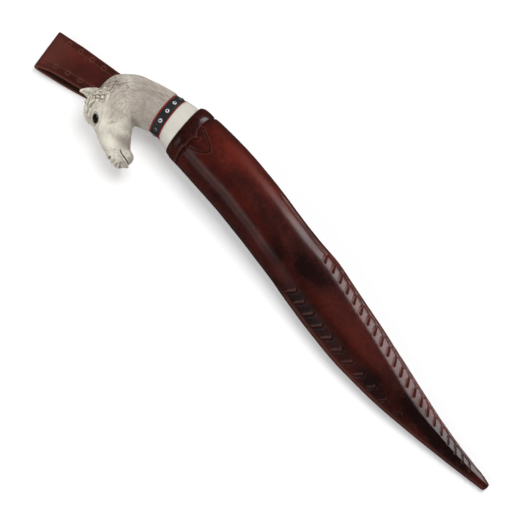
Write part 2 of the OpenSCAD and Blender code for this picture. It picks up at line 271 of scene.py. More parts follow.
def closed_loft(name, rings, attributes=None, nose=0):
    """A closed solid from rings in the mouth frame, with a centre point at each end.

    nose moves the first centre out along the draw line."""
    rings = np.asarray(rings)
    count, around = rings.shape[:2]
    points = np.concatenate([rings.reshape(-1, 3), [rings[0].mean(0) - (nose, 0, 0)],
        [rings[-1].mean(0)]])
    faces = grid_faces(count, around)
    first, last = len(points) - 2, len(points) - 1
    row = (count - 1) * around
    for k in range(around):
        after = (k + 1) % around
        faces.append((first, k, after))
        faces.append((last, row + after, row + k))
    return make_mesh(name, place(points), faces, attributes)


def settle(piece, body, slot, material, *replaced):
    """Gives a new piece its material, body and the CAD nodes it stands for. slot is not used."""
    piece.data.materials.clear()
    piece.data.materials.append(material)
    if body:
        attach(piece, body)
    if replaced:
        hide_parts(*replaced)
    return piece


def near_line(xy, line, reach):
    """For the places within reach of a line: their numbers, distance, share along, and side."""
    line = np.asarray(line, float)
    low, high = line.min(0) - reach, line.max(0) + reach
    who = np.nonzero(((xy >= low) & (xy <= high)).all(1))[0]
    if not len(who):
        return who, np.zeros(0), np.zeros(0), np.zeros(0)
    p = xy[who][:, None]
    a, b = line[:-1][None], line[1:][None]
    d = b - a
    size = np.maximum((d**2).sum(-1), 1e-12)
    t = np.clip(((p - a) * d).sum(-1) / size, 0, 1)
    off = p - (a + d * t[..., None])
    dist = np.linalg.norm(off, axis=-1)
    best = dist.argmin(1)
    pick = np.arange(len(who))
    share = (best + t[pick, best]) / (len(line) - 1)
    side = np.sign(d[0, best, 0] * off[pick, best, 1] - d[0, best, 1] * off[pick, best, 0])
    dist = dist[pick, best]
    keep = dist < reach
    return who[keep], dist[keep], share[keep], side[keep]


# ---------------------------------------------------------------- materials
class Look:
    """A new material: its shader, the place on the piece, and the nodes that feed it."""

    def __init__(self, name, **values):
        self.material = bpy.data.materials.new(name)
        self.material.use_nodes = True
        self.nodes = self.material.node_tree.nodes
        self.links = self.material.node_tree.links
        self.shader = self.nodes["Principled BSDF"]
        self.fill(self.shader, values)
        self.at = self.node("TexCoord", "Object")

    def fill(self, node, values):
        """Sets a node's inputs, each to a plain value or to the output of another node."""
        for key, value in values.items():
            socket = node.inputs[key.replace("_", " ") if isinstance(key, str) else key]
            if isinstance(value, bpy.types.NodeSocket):
                self.links.new(value, socket)
            elif socket.type == "RGBA":
                socket.default_value = (*value, 1)
            else:
                socket.default_value = value

    def node(self, kind, output, inputs=None, **settings):
        """Adds a node and gives one of its outputs."""
        node = self.nodes.new("ShaderNode" + kind)
        for key, value in settings.items():
            setattr(node, key, value)
        self.fill(node, inputs or {})
        return node.outputs[output]

    def noise(self, scale, detail=4, rough=0.55, stretch=None, distortion=0, source=None):
        """A noise texture, whose pattern may be stretched along an axis."""
        source = self.at if source is None else source
        if stretch:
            source = self.node("Mapping", "Vector", {"Vector": source, "Scale": stretch})
        return self.node("TexNoise", "Fac", {"Vector": source, "Scale": scale, "Detail": detail,
            "Roughness": rough, "Distortion": distortion})

    def cells(self, scale, feature="F1"):
        inputs = {"Vector": self.at, "Scale": scale}
        return self.node("TexVoronoi", "Distance", inputs, feature=feature)

    def ramp(self, source, *stops):
        """A colour ramp. stops are (place, (r, g, b)) pairs."""
        colour = self.node("ValToRGB", "Color", {"Fac": source})
        elements = colour.node.color_ramp.elements
        while len(elements) < len(stops):
            elements.new(0.5)
        for element, (place_on, shade) in zip(elements, stops):
            element.position = place_on
            element.color = (*shade, 1)
        return colour

    def math(self, operation, *values, clamp=False):
        return self.node("Math", 0, dict(enumerate(values)), operation=operation, use_clamp=clamp)

    def mix(self, factor, a, b):
        return self.node("Mix", 2, {0: factor, 6: a, 7: b}, data_type="RGBA")

    def attribute(self, name, output="Fac"):
        return self.node("Attribute", output, attribute_name=name)

    def over(self, colour, **shades):
        """Lays shades over a colour, each where the attribute of its name says so."""
        for name, shade in shades.items():
            colour = self.mix(self.attribute(name), colour, shade)
        return colour

    def done(self, colour, *bumps, **values):
        """Links the colour and the bumps, each (height, strength, distance in metres)."""
        for height, strength, distance in bumps:
            inputs = {"Height": height, "Strength": strength, "Distance": distance}
            if "Normal" in values:
                inputs["Normal"] = values["Normal"]
            values["Normal"] = self.node("Bump", "Normal", inputs)
        self.fill(self.shader, {"Base_Color": colour, **values})
        return self.material


def leather_material():
    """Glossy antique leather: red-brown, blackened in patches and cuts, redder along its edges. The
    lighter rim shade is partly painted highlight and reflection, and the tone partly painted shade and
    sheen.
    """
    look = Look("antique_leather", Coat_Weight=0.9, Coat_Roughness=0.24, Specular_IOR_Level=0.05)
    patches = look.noise(38, 4, 0.6, distortion=0.4)
    speckle = look.noise(520, 5, 0.7)
    mottled = look.math("MULTIPLY_ADD", look.math("SUBTRACT", speckle, 0.5), 0.65, patches)
    tone = look.math("MULTIPLY_ADD", look.attribute("tone"), 0.5, mottled)
    base = look.ramp(tone, (0.12, (0.0085, 0.0020, 0.0018)), (0.42, (0.031, 0.0050, 0.0036)),
        (0.62, (0.061, 0.0070, 0.0040)), (0.88, (0.108, 0.0115, 0.0050)))
    colour = look.over(base, rim=(0.19, 0.062, 0.048), cut=(0.016, 0.004, 0.003))
    dull = look.math("MULTIPLY_ADD", speckle, 0.22, 0.24)
    grain = look.cells(1500, "DISTANCE_TO_EDGE")
    soft = look.noise(210, 5, 0.6)
    return look.done(colour, (soft, 0.26, 0.0005), (grain, 0.22, 0.0002), Roughness=dull)


def strap_material():
    """Satin red-brown strap leather with fine wrinkles. Its lighter rim shade is partly painted
    highlight and sheen, and its flesh side is painted dark as shade inside the loop.
    """
    look = Look("strap_leather", Coat_Weight=0.15, Coat_Roughness=0.28, Specular_IOR_Level=0.12)
    patches = look.noise(60, 4, 0.6)
    fine = look.noise(900, 5, 0.7)
    tone = look.math("MULTIPLY_ADD", look.math("SUBTRACT", fine, 0.5), 0.5, patches)
    base = look.ramp(tone, (0.25, (0.026, 0.007, 0.006)), (0.5, (0.054, 0.010, 0.0075)),
        (0.75, (0.092, 0.015, 0.010)))
    colour = look.over(base, rim=(0.19, 0.066, 0.048), cut=(0.020, 0.006, 0.005),
        flesh=(0.040, 0.017, 0.010))
    dull = look.math("MULTIPLY_ADD", fine, 0.3, 0.32)
    return look.done(colour, (fine, 0.3, 0.0003), (look.cells(1300), 0.12, 0.0002), Roughness=dull)


def bone_material():
    """Polished bone: cream, with faint long pores and slightly yellow streaks."""
    look = Look("polished_bone", Roughness=0.3, Coat_Weight=0.15, Coat_Roughness=0.1)
    streaks = look.noise(260, 5, 0.6, stretch=(0.12, 1, 1))
    base = look.ramp(streaks, (0.3, (0.57, 0.54, 0.48)), (0.55, (0.63, 0.60, 0.54)),
        (0.8, (0.67, 0.645, 0.59)))
    clouds = look.math("MULTIPLY", look.noise(45, 3, 0.5), 0.35)
    return look.done(look.mix(clouds, base, (0.64, 0.60, 0.51)), (streaks, 0.08, 0.0002))


def antler_material():
    """Carved antler: cream ground, mauve-grey patches, brown stain in the cuts, fine hair lines."""
    look = Look("carved_antler", Roughness=0.48, Coat_Weight=0.06, Coat_Roughness=0.25)
    hair = look.noise(1.0, 6, 0.7, (1.5, 0.9, 0.4), 0.6, look.attribute("hair", "Vector"))
    speckle = look.noise(900, 4, 0.7)
    ground = look.ramp(look.noise(120, 4, 0.6), (0.3, (0.47, 0.41, 0.365)), (0.47, (0.60, 0.55, 0.475)),
        (0.7, (0.70, 0.66, 0.575)))
    grey = look.math("MULTIPLY", look.attribute("grey"), look.math("ADD", speckle, 0.45), clamp=True)
    patched = look.mix(grey, ground, (0.39, 0.345, 0.312))
    strokes = look.ramp(hair, (0.38, (0.9, 0.9, 0.9)), (0.5, (0.36, 0.36, 0.36)), (0.60, (0, 0, 0)))
    lined = look.mix(strokes, patched, (0.30, 0.248, 0.20))
    colour = look.over(lined, edge=(0.80, 0.77, 0.66), stain=(0.12, 0.075, 0.045),
        ink=(0.012, 0.010, 0.010))
    return look.done(colour, (hair, 0.6, 0.0004), (speckle, 0.15, 0.0002))


def band_material():
    """Black band, slightly grey and scuffed."""
    look = Look("black_band", Roughness=0.42)
    fine = look.noise(700, 5, 0.7)
    base = look.ramp(fine, (0.3, (0.010, 0.010, 0.011)), (0.7, (0.028, 0.028, 0.030)))
    return look.done(base, (fine, 0.2, 0.0002))


def fibre_material():
    """Red vulcanised fibre, in thin sheets."""
    look = Look("red_fibre", Roughness=0.4)
    fine = look.noise(900, 5, 0.7)
    base = look.ramp(fine, (0.3, (0.18, 0.012, 0.008)), (0.7, (0.34, 0.026, 0.016)))
    return look.done(base, (fine, 0.15, 0.0001))


def metal_material(name, dark, light, metallic, rough, strength, stretch=None, **shades):
    """Metal with fine lines or a light mottle, and shades where their attributes say so."""
    look = Look(name, Metallic=metallic)
    lines = look.noise(900, 5, 0.7, stretch)
    colour = look.over(look.ramp(lines, (0.3, dark), (0.7, light)), **shades)
    dull = look.math("MULTIPLY_ADD", lines, 0.2, rough - 0.1)
    return look.done(colour, (lines, strength, 0.0001), Roughness=dull)


def wood_material():
    """Pale birch with long grain."""
    look = Look("liner_wood", Roughness=0.62)
    grain = look.noise(420, 6, 0.65, (0.05, 1, 1), 0.4)
    base = look.ramp(grain, (0.3, (0.30, 0.18, 0.085)), (0.55, (0.46, 0.31, 0.165)),
        (0.8, (0.55, 0.40, 0.23)))
    return look.done(base, (grain, 0.3, 0.0002))


def thread_material():
    """Waxed twisted thread."""
    look = Look("waxed_thread", Roughness=0.55)
    twist = look.node("TexWave", "Fac", {"Vector": look.at, "Scale": 900, "Distortion": 1.5},
        bands_direction="DIAGONAL")
    base = look.ramp(twist, (0.2, (0.020, 0.008, 0.005)), (0.8, (0.075, 0.028, 0.018)))
    return look.done(base, (twist, 0.5, 0.0002))


def eye_material():
    """Polished black with a faint brown glow."""
    look = Look("eye_glass", Roughness=0.06, Coat_Weight=0.6, Coat_Roughness=0.03)
    depth = look.noise(500, 3, 0.6)
    return look.done(look.ramp(depth, (0.35, (0.002, 0.0015, 0.0015)), (0.75, (0.010, 0.005, 0.003))))


def floor_material():
    """White paper, bright enough to burn out."""
    look = Look("floor_paper", Roughness=1.0, Specular_IOR_Level=0.0, Emission_Strength=0.29,
        Emission_Color=(1, 1, 1))
    fine = look.noise(300, 3, 0.5)
    return look.done(look.ramp(fine, (0.2, (0.79, 0.79, 0.79)), (0.8, (0.82, 0.82, 0.82))))


def backdrop_material():
    look = Look("backdrop", Roughness=0.9, Emission_Strength=0.85, Emission_Color=(1, 1, 1))
    return look.done((0.8, 0.8, 0.8))


LEATHER = leather_material()
STRAP_LEATHER = strap_material()
BONE = bone_material()
ANTLER = antler_material()
BAND = band_material()
FIBRE = fibre_material()
STEEL = metal_material("brushed_steel", (0.42, 0.43, 0.45), (0.66, 0.67, 0.69), 0.3, 0.28, 0.2,
    (0.03, 1, 1))
BRASS = metal_material("brass", (0.50, 0.33, 0.12), (0.72, 0.50, 0.20), 0.5, 0.26, 0.1)
# The studs' bright, partly diffuse grey stands in for the overhead lamp's reflection: a painted
# reflection
CHROME = metal_material("chrome", (0.80, 0.81, 0.83), (0.90, 0.91, 0.93), 0.3, 0.16, 0.02,
    pit=(0.004, 0.004, 0.004))
WOOD = wood_material()
THREAD = thread_material()
EYE = eye_material()


# ---------------------------------------------------------------- floor
FLOOR_HALF = 4.0
FLOOR_DROP = 0.0002
WALL_RADIUS = 3.4
WALL_HEIGHT = 4


def make_floor():
    corners = [(x * FLOOR_HALF, y * FLOOR_HALF, 0) for x, y in ((-1, -1), (1, -1), (1, 1), (-1, 1))]
    floor = make_mesh("floor", corners, [(0, 1, 2, 3)], smooth=False)
    floor.location.z = -FLOOR_DROP
    floor.visible_glossy = False
    floor.data.materials.append(floor_material())


def make_backdrop():
    """A pale wall far round the knife, seen by the camera only."""
    turns = circle(64)
    ring = np.stack([WALL_RADIUS * np.cos(turns), WALL_RADIUS * np.sin(turns), 0 * turns], 1)
    wall = make_mesh("backdrop", np.concatenate([ring, ring + (0, 0, WALL_HEIGHT)]),
        grid_faces(2, len(turns)))
    wall.data.materials.append(backdrop_material())
    for ray in ("diffuse", "glossy", "transmission", "shadow"):
        setattr(wall, "visible_" + ray, False)


make_floor()
make_backdrop()


# ---------------------------------------------------------------- sheath
# A section row: right edge x and y, left edge x and y, front height, back depth, roundness of each.
SHEATH_ROWS = [
    [-236.6, -0.6, -236.6, 2.0, 1.3, 1.2, 2.4, 2.4],
    [-236.2, -1.4, -236.2, 2.8, 2.1, 2.0, 2.2, 2.4],
    [-231, -2.2, -231, 4.1, 2.9, 2.5, 1.8, 2.5],
    [-224, -2.3, -224, 5.7, 3.3, 2.8, 1.7, 2.6],
    [-210, -2.9, -210, 8.8, 4.0, 3.4, 1.6, 2.6],
    [-192, -4.5, -192, 12.5, 4.9, 4.1, 1.6, 2.6],
    [-174, -6.9, -174, 15.7, 5.8, 4.8, 1.6, 2.6],
    [-156, -9.3, -156, 18.0, 6.6, 5.5, 1.6, 2.6],
    [-138, -11.5, -138, 19.1, 7.3, 6.3, 1.7, 2.6],
    [-120, -13.4, -120, 18.9, 8.2, 7.2, 1.8, 2.6],
    [-104, -15.0, -104, 18.0, 9.6, 8.5, 2.0, 2.5],
    [-90, -15.0, -90, 16.8, 11.2, 10.4, 2.2, 2.4],
    [-76, -15.3, -77, 16.2, 12.2, 11.6, 2.3, 2.3],
    [-60, -16.2, -62, 15.5, 13.0, 12.6, 2.3, 2.3],
    [-42, -16.7, -46, 15.2, 13.4, 13.2, 2.3, 2.3],
    [-26, -16.1, -31, 15.5, 13.5, 13.4, 2.3, 2.3],
    [-12, -14.9, -18, 15.9, 13.3, 13.4, 2.3, 2.3],
    [-5.2, -14.0, -10.8, 16.3, 12.9, 13.2, 2.3, 2.3],
    [-2.1, -13.6, -7.4, 16.6, 13.3, 13.4, 2.3, 2.3],
    [0.6, -12.9, -4.6, 16.3, 13.2, 13.4, 2.3, 2.3],
    [1.8, -12.2, -3.4, 16.2, 12.4, 12.9, 2.3, 2.3],
]
POCKET_ROWS = [
    [2.0, -11.5, -3.6, 15.65, 11.3, 11.4, 2.3, 2.3],
    [-4.8, -12.2, -10.6, 14.95, 11.2, 11.4, 2.3, 2.3],
    [-12, -13.0, -18, 14.4, 11.2, 11.4, 2.3, 2.3],
    [-26, -14.2, -31, 13.6, 11.3, 11.4, 2.3, 2.3],
    [-42, -14.8, -46, 13.25, 11.3, 11.3, 2.3, 2.3],
    [-60, -14.3, -62, 13.5, 10.9, 10.7, 2.3, 2.3],
    [-76, -13.4, -77, 14.2, 10.2, 9.8, 2.3, 2.3],
    [-89, -13.0, -89, 14.9, 9.4, 8.7, 2.2, 2.4],
    [-104, -13.0, -104, 16.1, 7.7, 6.8, 2.0, 2.5],
    [-120, -11.4, -120, 17.0, 6.4, 5.5, 1.9, 2.6],
    [-138, -9.5, -138, 17.1, 5.5, 4.6, 1.8, 2.6],
    [-156, -7.3, -156, 16.0, 4.8, 3.9, 1.7, 2.6],
    [-174, -4.9, -174, 13.7, 4.1, 3.2, 1.7, 2.6],
    [-192, -2.6, -192, 10.6, 3.3, 2.6, 1.7, 2.6],
    [-204, -1.5, -204, 8.3, 2.8, 2.2, 1.7, 2.6],
    [-211, -0.9, -211, 6.9, 2.5, 1.9, 1.7, 2.6],
]
# The flat front panel of the blade part narrows to a single ridge: x, right side y, left side y.
PANEL = np.array([[-236, -0.2, 0.2], [-225, 1.2, 1.6], [-214, 2.3, 2.6], [-198, 3.0, 3.3],
    [-186, 3.3, 4.3], [-174, 2.0, 6.6], [-156, -0.6, 8.2], [-138, -3.0, 9.2], [-120, -5.2, 9.3],
    [-102, -7.0, 9.0], [-84, -9.0, 8.8],])


TIP = -236.6
BLADE_PART = -84


def edge_y(x, side):
    """Edge of the sheath at x: side 1 is the right, 3 the left."""
    rows = np.array(SHEATH_ROWS)
    return np.interp(x, rows[:, side - 1], rows[:, side])


def roof(rows, u, v):
    """Front height of the blade part: two flanks and a panel between them."""
    x = rows[:, 0:1]
    middle = (rows[:, 1:2] + rows[:, 3:4]) / 2
    half = (rows[:, 3:4] - rows[:, 1:2]) / 2
    u_right = (np.interp(x, PANEL[:, 0], PANEL[:, 1]) - middle) / half
    u_left = (np.interp(x, PANEL[:, 0], PANEL[:, 2]) - middle) / half
    low = np.interp(x, [-236, -200, -150, -120, -100], [0.44, 0.38, 0.37, 0.45, 0.5])
    sharp = np.interp(x, [-215, -185, -150, -100], [60, 28, 14, 8])
    right = low + (1.03 - low) * (u + 1) / (u_right + 1)
    left = low + (1.03 - low) * (1 - u) / (1 - u_left)
    top = 1.05 - 0.10 * np.abs(u) ** 2
    height = -np.log(np.exp(-sharp * right) + np.exp(-sharp * left) + np.exp(-sharp * top)) / sharp
    edge = (1 - np.minimum(np.abs(u), 1) ** 9) ** 0.42
    blade_part = ease((BLADE_PART - x) / 26) * ease((x - TIP) / 4)
    return v * (1 - blade_part) + height * edge * blade_part


def make_sheath():
    angles = np.concatenate([np.linspace(0, math.pi, 109), np.linspace(math.pi, 2 * math.pi, 49)[1:-1]])
    rows = even_rows(SHEATH_ROWS, 560)
    grid, front = section_rings(rows, angles, BACK_FLAT, roof)
    normals = grid_normals(grid)
    xy = grid[..., :2].reshape(-1, 2)
    long_x, across = xy.T
    z = grid[..., 2].ravel()
    on_front = (z > -1.0) & front.ravel() | (z > 0)
    push, cut, rim, tone = np.zeros((4, len(xy)))

    def carve(points, width, depth, ink=0.8, start=0.0, end=0.0, lip=0.0, swell=None, bank_highlight=0.0):
        """A groove along a line. lip raises a bank, and a bank may be painted lighter as a highlight,
        each on the side its sign gives.
        """
        who, dist, share, side = near_line(xy, smooth_line(points, 8 * len(points)), width * 3.2)
        keep = on_front[who]
        who, dist, share, side = who[keep], dist[keep], share[keep], side[keep]
        fade = taper(share, start, end)
        wide = width * (swell(share) if swell else 1)
        shape = bump(dist, 0, wide) * fade
        push[who] = np.minimum(push[who], -depth * shape)
        if lip:
            push[who] += abs(lip) * bump(dist * (side * np.sign(lip) > 0), width * 1.9,
                width * 0.8) * fade
        cut[who] = np.maximum(cut[who], ink * shape**1.5)
        if bank_highlight:
            bank = bump(dist, wide * 1.8, wide * 0.55) * fade * (side * np.sign(bank_highlight) > 0)
            rim[who] = np.maximum(rim[who], abs(bank_highlight) * bank)

    # Waves of hand-formed leather
    wave = (0.10 * np.sin(long_x / 13.0 + 0.4) * np.sin(across / 7.0 + 1.1) + 0.07
        * np.sin(long_x / 6.1 + across / 5.3 + 2.0) + 0.05 * np.sin(long_x / 3.7 - across / 4.1))

    # Mouth's band, its groove and the leaf below it, with painted highlights on banks of the cuts
    carve([(-12.6, 17.6), (-11.6, 16.6), (-10.6, 13.2), (-10.1, 10.0), (-10.4, 8.4)], 0.55, 1.3, 1.0,
        end=0.15, lip=0.25, bank_highlight=0.35)
    carve([(-10.4, 8.4), (-9.6, 6.6), (-9.5, 4.6), (-10.2, 2.8), (-11.6, 1.5)], 0.45, 0.85, 1.0,
        lip=0.15, bank_highlight=0.4)
    carve([(-11.6, 1.5), (-9.6, 0.9), (-8.2, -0.6), (-7.5, -2.6), (-8.0, -3.7), (-9.6, -3.5)], 0.38,
        0.6, 0.9, bank_highlight=0.35)
    carve([(-9.6, -3.5), (-12.0, -2.6), (-15.6, -1.4), (-18.2, -0.3), (-19.9, 0.9)], 0.36, 0.55, 0.85,
        lip=0.12, bank_highlight=0.35)
    carve([(-19.9, 0.9), (-19.5, 2.9), (-17.3, 5.2), (-14.0, 6.9), (-10.4, 8.4)], 0.40, 0.6, 0.95,
        lip=0.12, bank_highlight=0.35)
    carve([(-7.5, -2.6), (-6.3, -5.0), (-6.0, -8.0), (-6.6, -11.4), (-6.4, -13.8)], 0.95, 0.24, 0.25,
        start=0.15)
    carve([(-6.4, -11.8), (-6.3, -12.9), (-6.0, -13.9)], 0.55, 0.8, 0.4, start=0.4)

    # Inside the leaf the leather is pressed down a little
    leaf = np.array([(-11.6, 1.5), (-9.4, 4.6), (-10.4, 8.0), (-14.0, 6.8), (-17.3, 5.1), (-19.7, 1.2),
        (-15.6, -1.3), (-9.6, -3.2), (-8.2, -1.4)])
    inside = inside_polygon(xy, leaf) & on_front
    push[inside] -= 0.16

    # Rounded crease along the right side of the pocket, which opens into the border
    carve([(-50, -13.9), (-61.5, -13.3), (-68.5, -12.9), (-77.0, -12.4), (-85.2, -11.8), (-91.8, -11.8),
        (-97.5, -12.2)], 0.42, 0.55, 0.55, start=0.25, lip=0.12)

    # Right side: a row of scales, each a comma-shaped cut with an arc along the border, and a painted
    # highlight on the comma's bank
    for k in range(22):
        x = -97.3 - 6.35 * k + 0.017 * k * k
        step = 6.35 - 0.034 * k
        edge = edge_y(x, 1)
        small = np.interp(x, [-224, -170], [0.48, 1.0])
        deep = np.interp(x, [-224, -196, -170], [0.35, 0.6, 1.0])
        carve([(x + 0.5, edge + 2.6), (x - 0.2, edge + 2.2 + 1.7 * small),
            (x - 1.3, edge + 2.2 + 3.4 * small), (x - 2.0, edge + 2.2 + 4.6 * small)],
            0.31 * small + 0.09, 0.7 * deep, 0.85, start=0.25, swell=lambda s: 0.45 + 0.95 * s,
            lip=-0.2 * deep, bank_highlight=-0.5)
        if k < 21:
            bend = edge_y(x - step, 1)
            carve([(x + 0.6, edge + 2.9), (x + 0.3, edge + 2.0), (x - 0.25 * step, edge + 1.55),
                (x - 0.6 * step, bend + 1.6), (x - 0.85 * step, bend + 2.0),
                (x - step + 0.35, bend + 2.9)], 0.26, 0.3, 0.45)
    # Outer border lines on both sides
    for side, inset, depth in ((1, 0.75, 0.20), (3, 1.15, 0.22)):
        sign = 1 if side == 1 else -1
        xs = np.linspace(-230, -99, 40)
        carve([(x, edge_y(x, side) + sign * (inset + 0.12 * math.sin(x * 0.9))) for x in xs], 0.24,
            depth, 0.35, 0.04, 0.04)

    # Left side: long cuts with a hooked inner end, fading towards the tip, each with a painted highlight
    # on its bank
    for k in range(15):
        x = -102.4 - 6.95 * k - 0.10 * k * k
        edge = edge_y(x, 3)
        size = np.interp(x, [-210, -175, -150], [0.35, 0.72, 1.0])
        deep = np.interp(x, [-212, -180, -150, -100], [0.22, 0.4, 0.75, 1.0])
        carve([(x + 4.3 * size, edge - 0.7), (x + 2.5 * size, edge - 0.6 - 2.4 * size),
            (x + 0.5, edge - 0.6 - 4.7 * size), (x + 0.15, edge - 0.6 - 5.3 * size),
            (x + 0.8, edge - 0.6 - 5.6 * size)], 0.36, 0.75 * deep, 0.7, start=0.2, lip=0.3 * deep,
            bank_highlight=0.8 * deep)

    # Redder, lighter edges of the blade part: partly wear, partly a painted reflection
    for side, sign in ((1, 1), (3, -1)):
        inset = sign * (across - edge_y(long_x, side))
        rim = np.maximum(rim, bump(inset, 0.4, 0.9) * ease((-92 - long_x) / 10) * 0.28 * on_front)
    # Folded seam down the middle of the back
    middle_y = (edge_y(long_x, 1) + edge_y(long_x, 3)) / 2
    back = ~on_front & (z < -0.5)
    seam = bump(across - middle_y, 0, 0.45) * back * ease((-34 - long_x) / 6) * ease((long_x + 226) / 8)
    push -= 0.55 * seam
    cut = np.maximum(cut, seam)

    # Rolled rim of the mouth, then the waves
    push += 0.10 * bump(long_x + 0.168 * across, -2.5, 3.0) * on_front
    push += wave * ease((long_x + 232) / 30) * 0.6

    # Lighter and darker patches: x, y, length, breadth, amount. The dark ones along the left flank of
    # the blade part, at y 12 and 14.5 and near the tip, are painted shade on the flank turned from the
    # light; the light one at x -68 on the pocket's right flank is a painted sheen.
    for *patch, amount in ((-96, 1.5, 8, 5, -0.95), (-81, 8.0, 6, 4, -0.5), (-106, -2, 7, 4, -0.45),
            (-26, -8.5, 15, 4.5, 0.62), (-46, -9.5, 16, 4.5, 0.5), (-30, 0, 22, 6, 0.12),
            (-60, -1, 14, 9, -0.22), (-122, 5, 14, 6, 0.12), (-118, 14.5, 20, 4.5, -0.8),
            (-160, 12, 26, 4.5, -0.85), (-68, -10.5, 22, 3.5, 0.5), (-205, 5.5, 24, 3.5, -1.0),
            (-3, 0, 6, 12, -0.35), (-30, 12, 24, 3.0, -0.3), (-190, 3, 26, 4.5, -0.4)):
        tone += amount * spot(xy, *patch)
    tone -= 0.3 * (z < -2)
    # The right flank of the blade part is made redder and lighter: painted sheen
    beyond = np.interp(long_x, PANEL[:, 0], PANEL[:, 1]) - across
    tone += 0.45 * ease(beyond / 2.0) * ease((-88 - long_x) / 16) * ease((long_x + 225) / 40) * on_front

    # The back stays just above the table
    outer = grid + normals * push.reshape(grid.shape[:2])[..., None]
    table = -(MOUTH[2] + outer[..., 0] * math.sin(LIE_SLOPE)) / math.cos(LIE_SLOPE)
    outer[..., 2] = np.maximum(outer[..., 2], table + 0.02)

    inner_rows = even_rows(POCKET_ROWS, 44)
    inner, _ = section_rings(inner_rows, angles, POCKET_FLAT)
    lip_row = (rows[-1:] + inner_rows[:1]) / 2 + np.array([0.35, 0, 0.35, 0, 0, 0, 0, 0])
    lip, _ = section_rings(lip_row, angles, BACK_FLAT - 0.8)
    rings = np.concatenate([outer, lip, inner])
    blank = np.zeros((len(rings) - len(outer)) * len(angles) + 2)
    sheath = closed_loft("sheath", rings, {"cut": np.append(cut, blank), "rim": np.append(rim, blank),
        "tone": np.append(tone, blank - 0.6)}, 0.25)
    settle(sheath, "sheath", "leather", LEATHER, "sheath_leather")



def inside_polygon(xy, corners):
    """Even-odd test of many places against one outline."""
    result = np.zeros(len(xy), bool)
    for a, b in zip(corners, np.roll(corners, -1, 0)):
        cross = (a[1] > xy[:, 1]) != (b[1] > xy[:, 1])
        at = (b[0] - a[0]) * (xy[:, 1] - a[1]) / (b[1] - a[1] + 1e-12) + a[0]
        result ^= cross & (xy[:, 0] < at)
    return result


make_sheath()


# ---------------------------------------------------------------- handle
GRIP_ROWS = [
    [-83.2, -8.6, -83.2, 11.0, 8.4, 8.0, 2.1, 2.1, 0],
    [-70, -9.6, -70, 11.8, 9.3, 8.8, 2.1, 2.1, 0],
    [-50, -10.6, -51, 12.6, 10.3, 9.5, 2.2, 2.2, 0],
    [-30, -11.0, -33, 13.0, 10.8, 9.6, 2.2, 2.2, 0],
    [-8, -10.9, -14, 14.1, 10.9, 9.6, 2.2, 2.2, 0],
    [3.54, -10.21, -2.84, 15.5, 10.7, 9.6, 2.2, 2.2, 1],
    [6.6, -9.5, 0.7, 15.3, 10.3, 9.5, 2.2, 2.2, 3],
    [9.82, -8.74, 4.14, 14.7, 9.8, 9.4, 2.1, 2.1, 4.5],
]


def stack_place(along, across, high):
    """From the slanted and leaning stack of the collar to the mouth frame."""
    x = along * math.cos(COLLAR_LEAN) + high * math.sin(COLLAR_LEAN)
    z = high * math.cos(COLLAR_LEAN) - along * math.sin(COLLAR_LEAN)
    px = x * math.cos(COLLAR_SLANT) - across * math.sin(COLLAR_SLANT)
    py = x * math.sin(COLLAR_SLANT) + across * math.cos(COLLAR_SLANT)
    return np.stack(np.broadcast_arrays(px, py, z), -1)


def make_grip():
    rings, _ = section_rings(even_rows(GRIP_ROWS, 150), circle(96), 20)
    for k, inset in ((0, 0.30), (1, 0.06), (-1, 0.22), (-2, 0.05)):
        middle = rings[k].mean(0)
        rings[k] = middle + (rings[k] - middle) * (1 - inset / 11)
    settle(closed_loft("grip_bone", rings), "knife", "bone", BONE, "grip")


# The stack behind the grip: its start, thicknesses, and the band's middle and half sizes
STACK = 7.5
SPACER = 0.75
BAND_WIDTH = 5.05
BAND_ACROSS = 1.22
BAND_HALF = (11.8, 9.6)
STUDS = 12


def make_disc(name, start, thickness, across, half_width, half_height, crown, slot, material, node):
    """A slice of the stack with rounded edges and a slightly crowned rim."""
    angles = circle(128)
    rings = []
    for level, shrink in ((0, 1.2), (0, 0.14), (0.06, 0.03), (0.16, 0), (0.3, 0), (0.5, 0), (0.7, 0),
            (0.84, 0), (0.94, 0.03), (1, 0.14), (1, 1.2)):
        swell = crown * (1 - (2 * level - 1) ** 2) - shrink
        along = start / math.cos(COLLAR_LEAN) + thickness * level
        rings.append(stack_place(along, across + (half_width + swell) * np.cos(angles),
            (half_height + swell) * np.sin(angles)))
    settle(closed_loft(name, rings), "knife", slot, material, node)


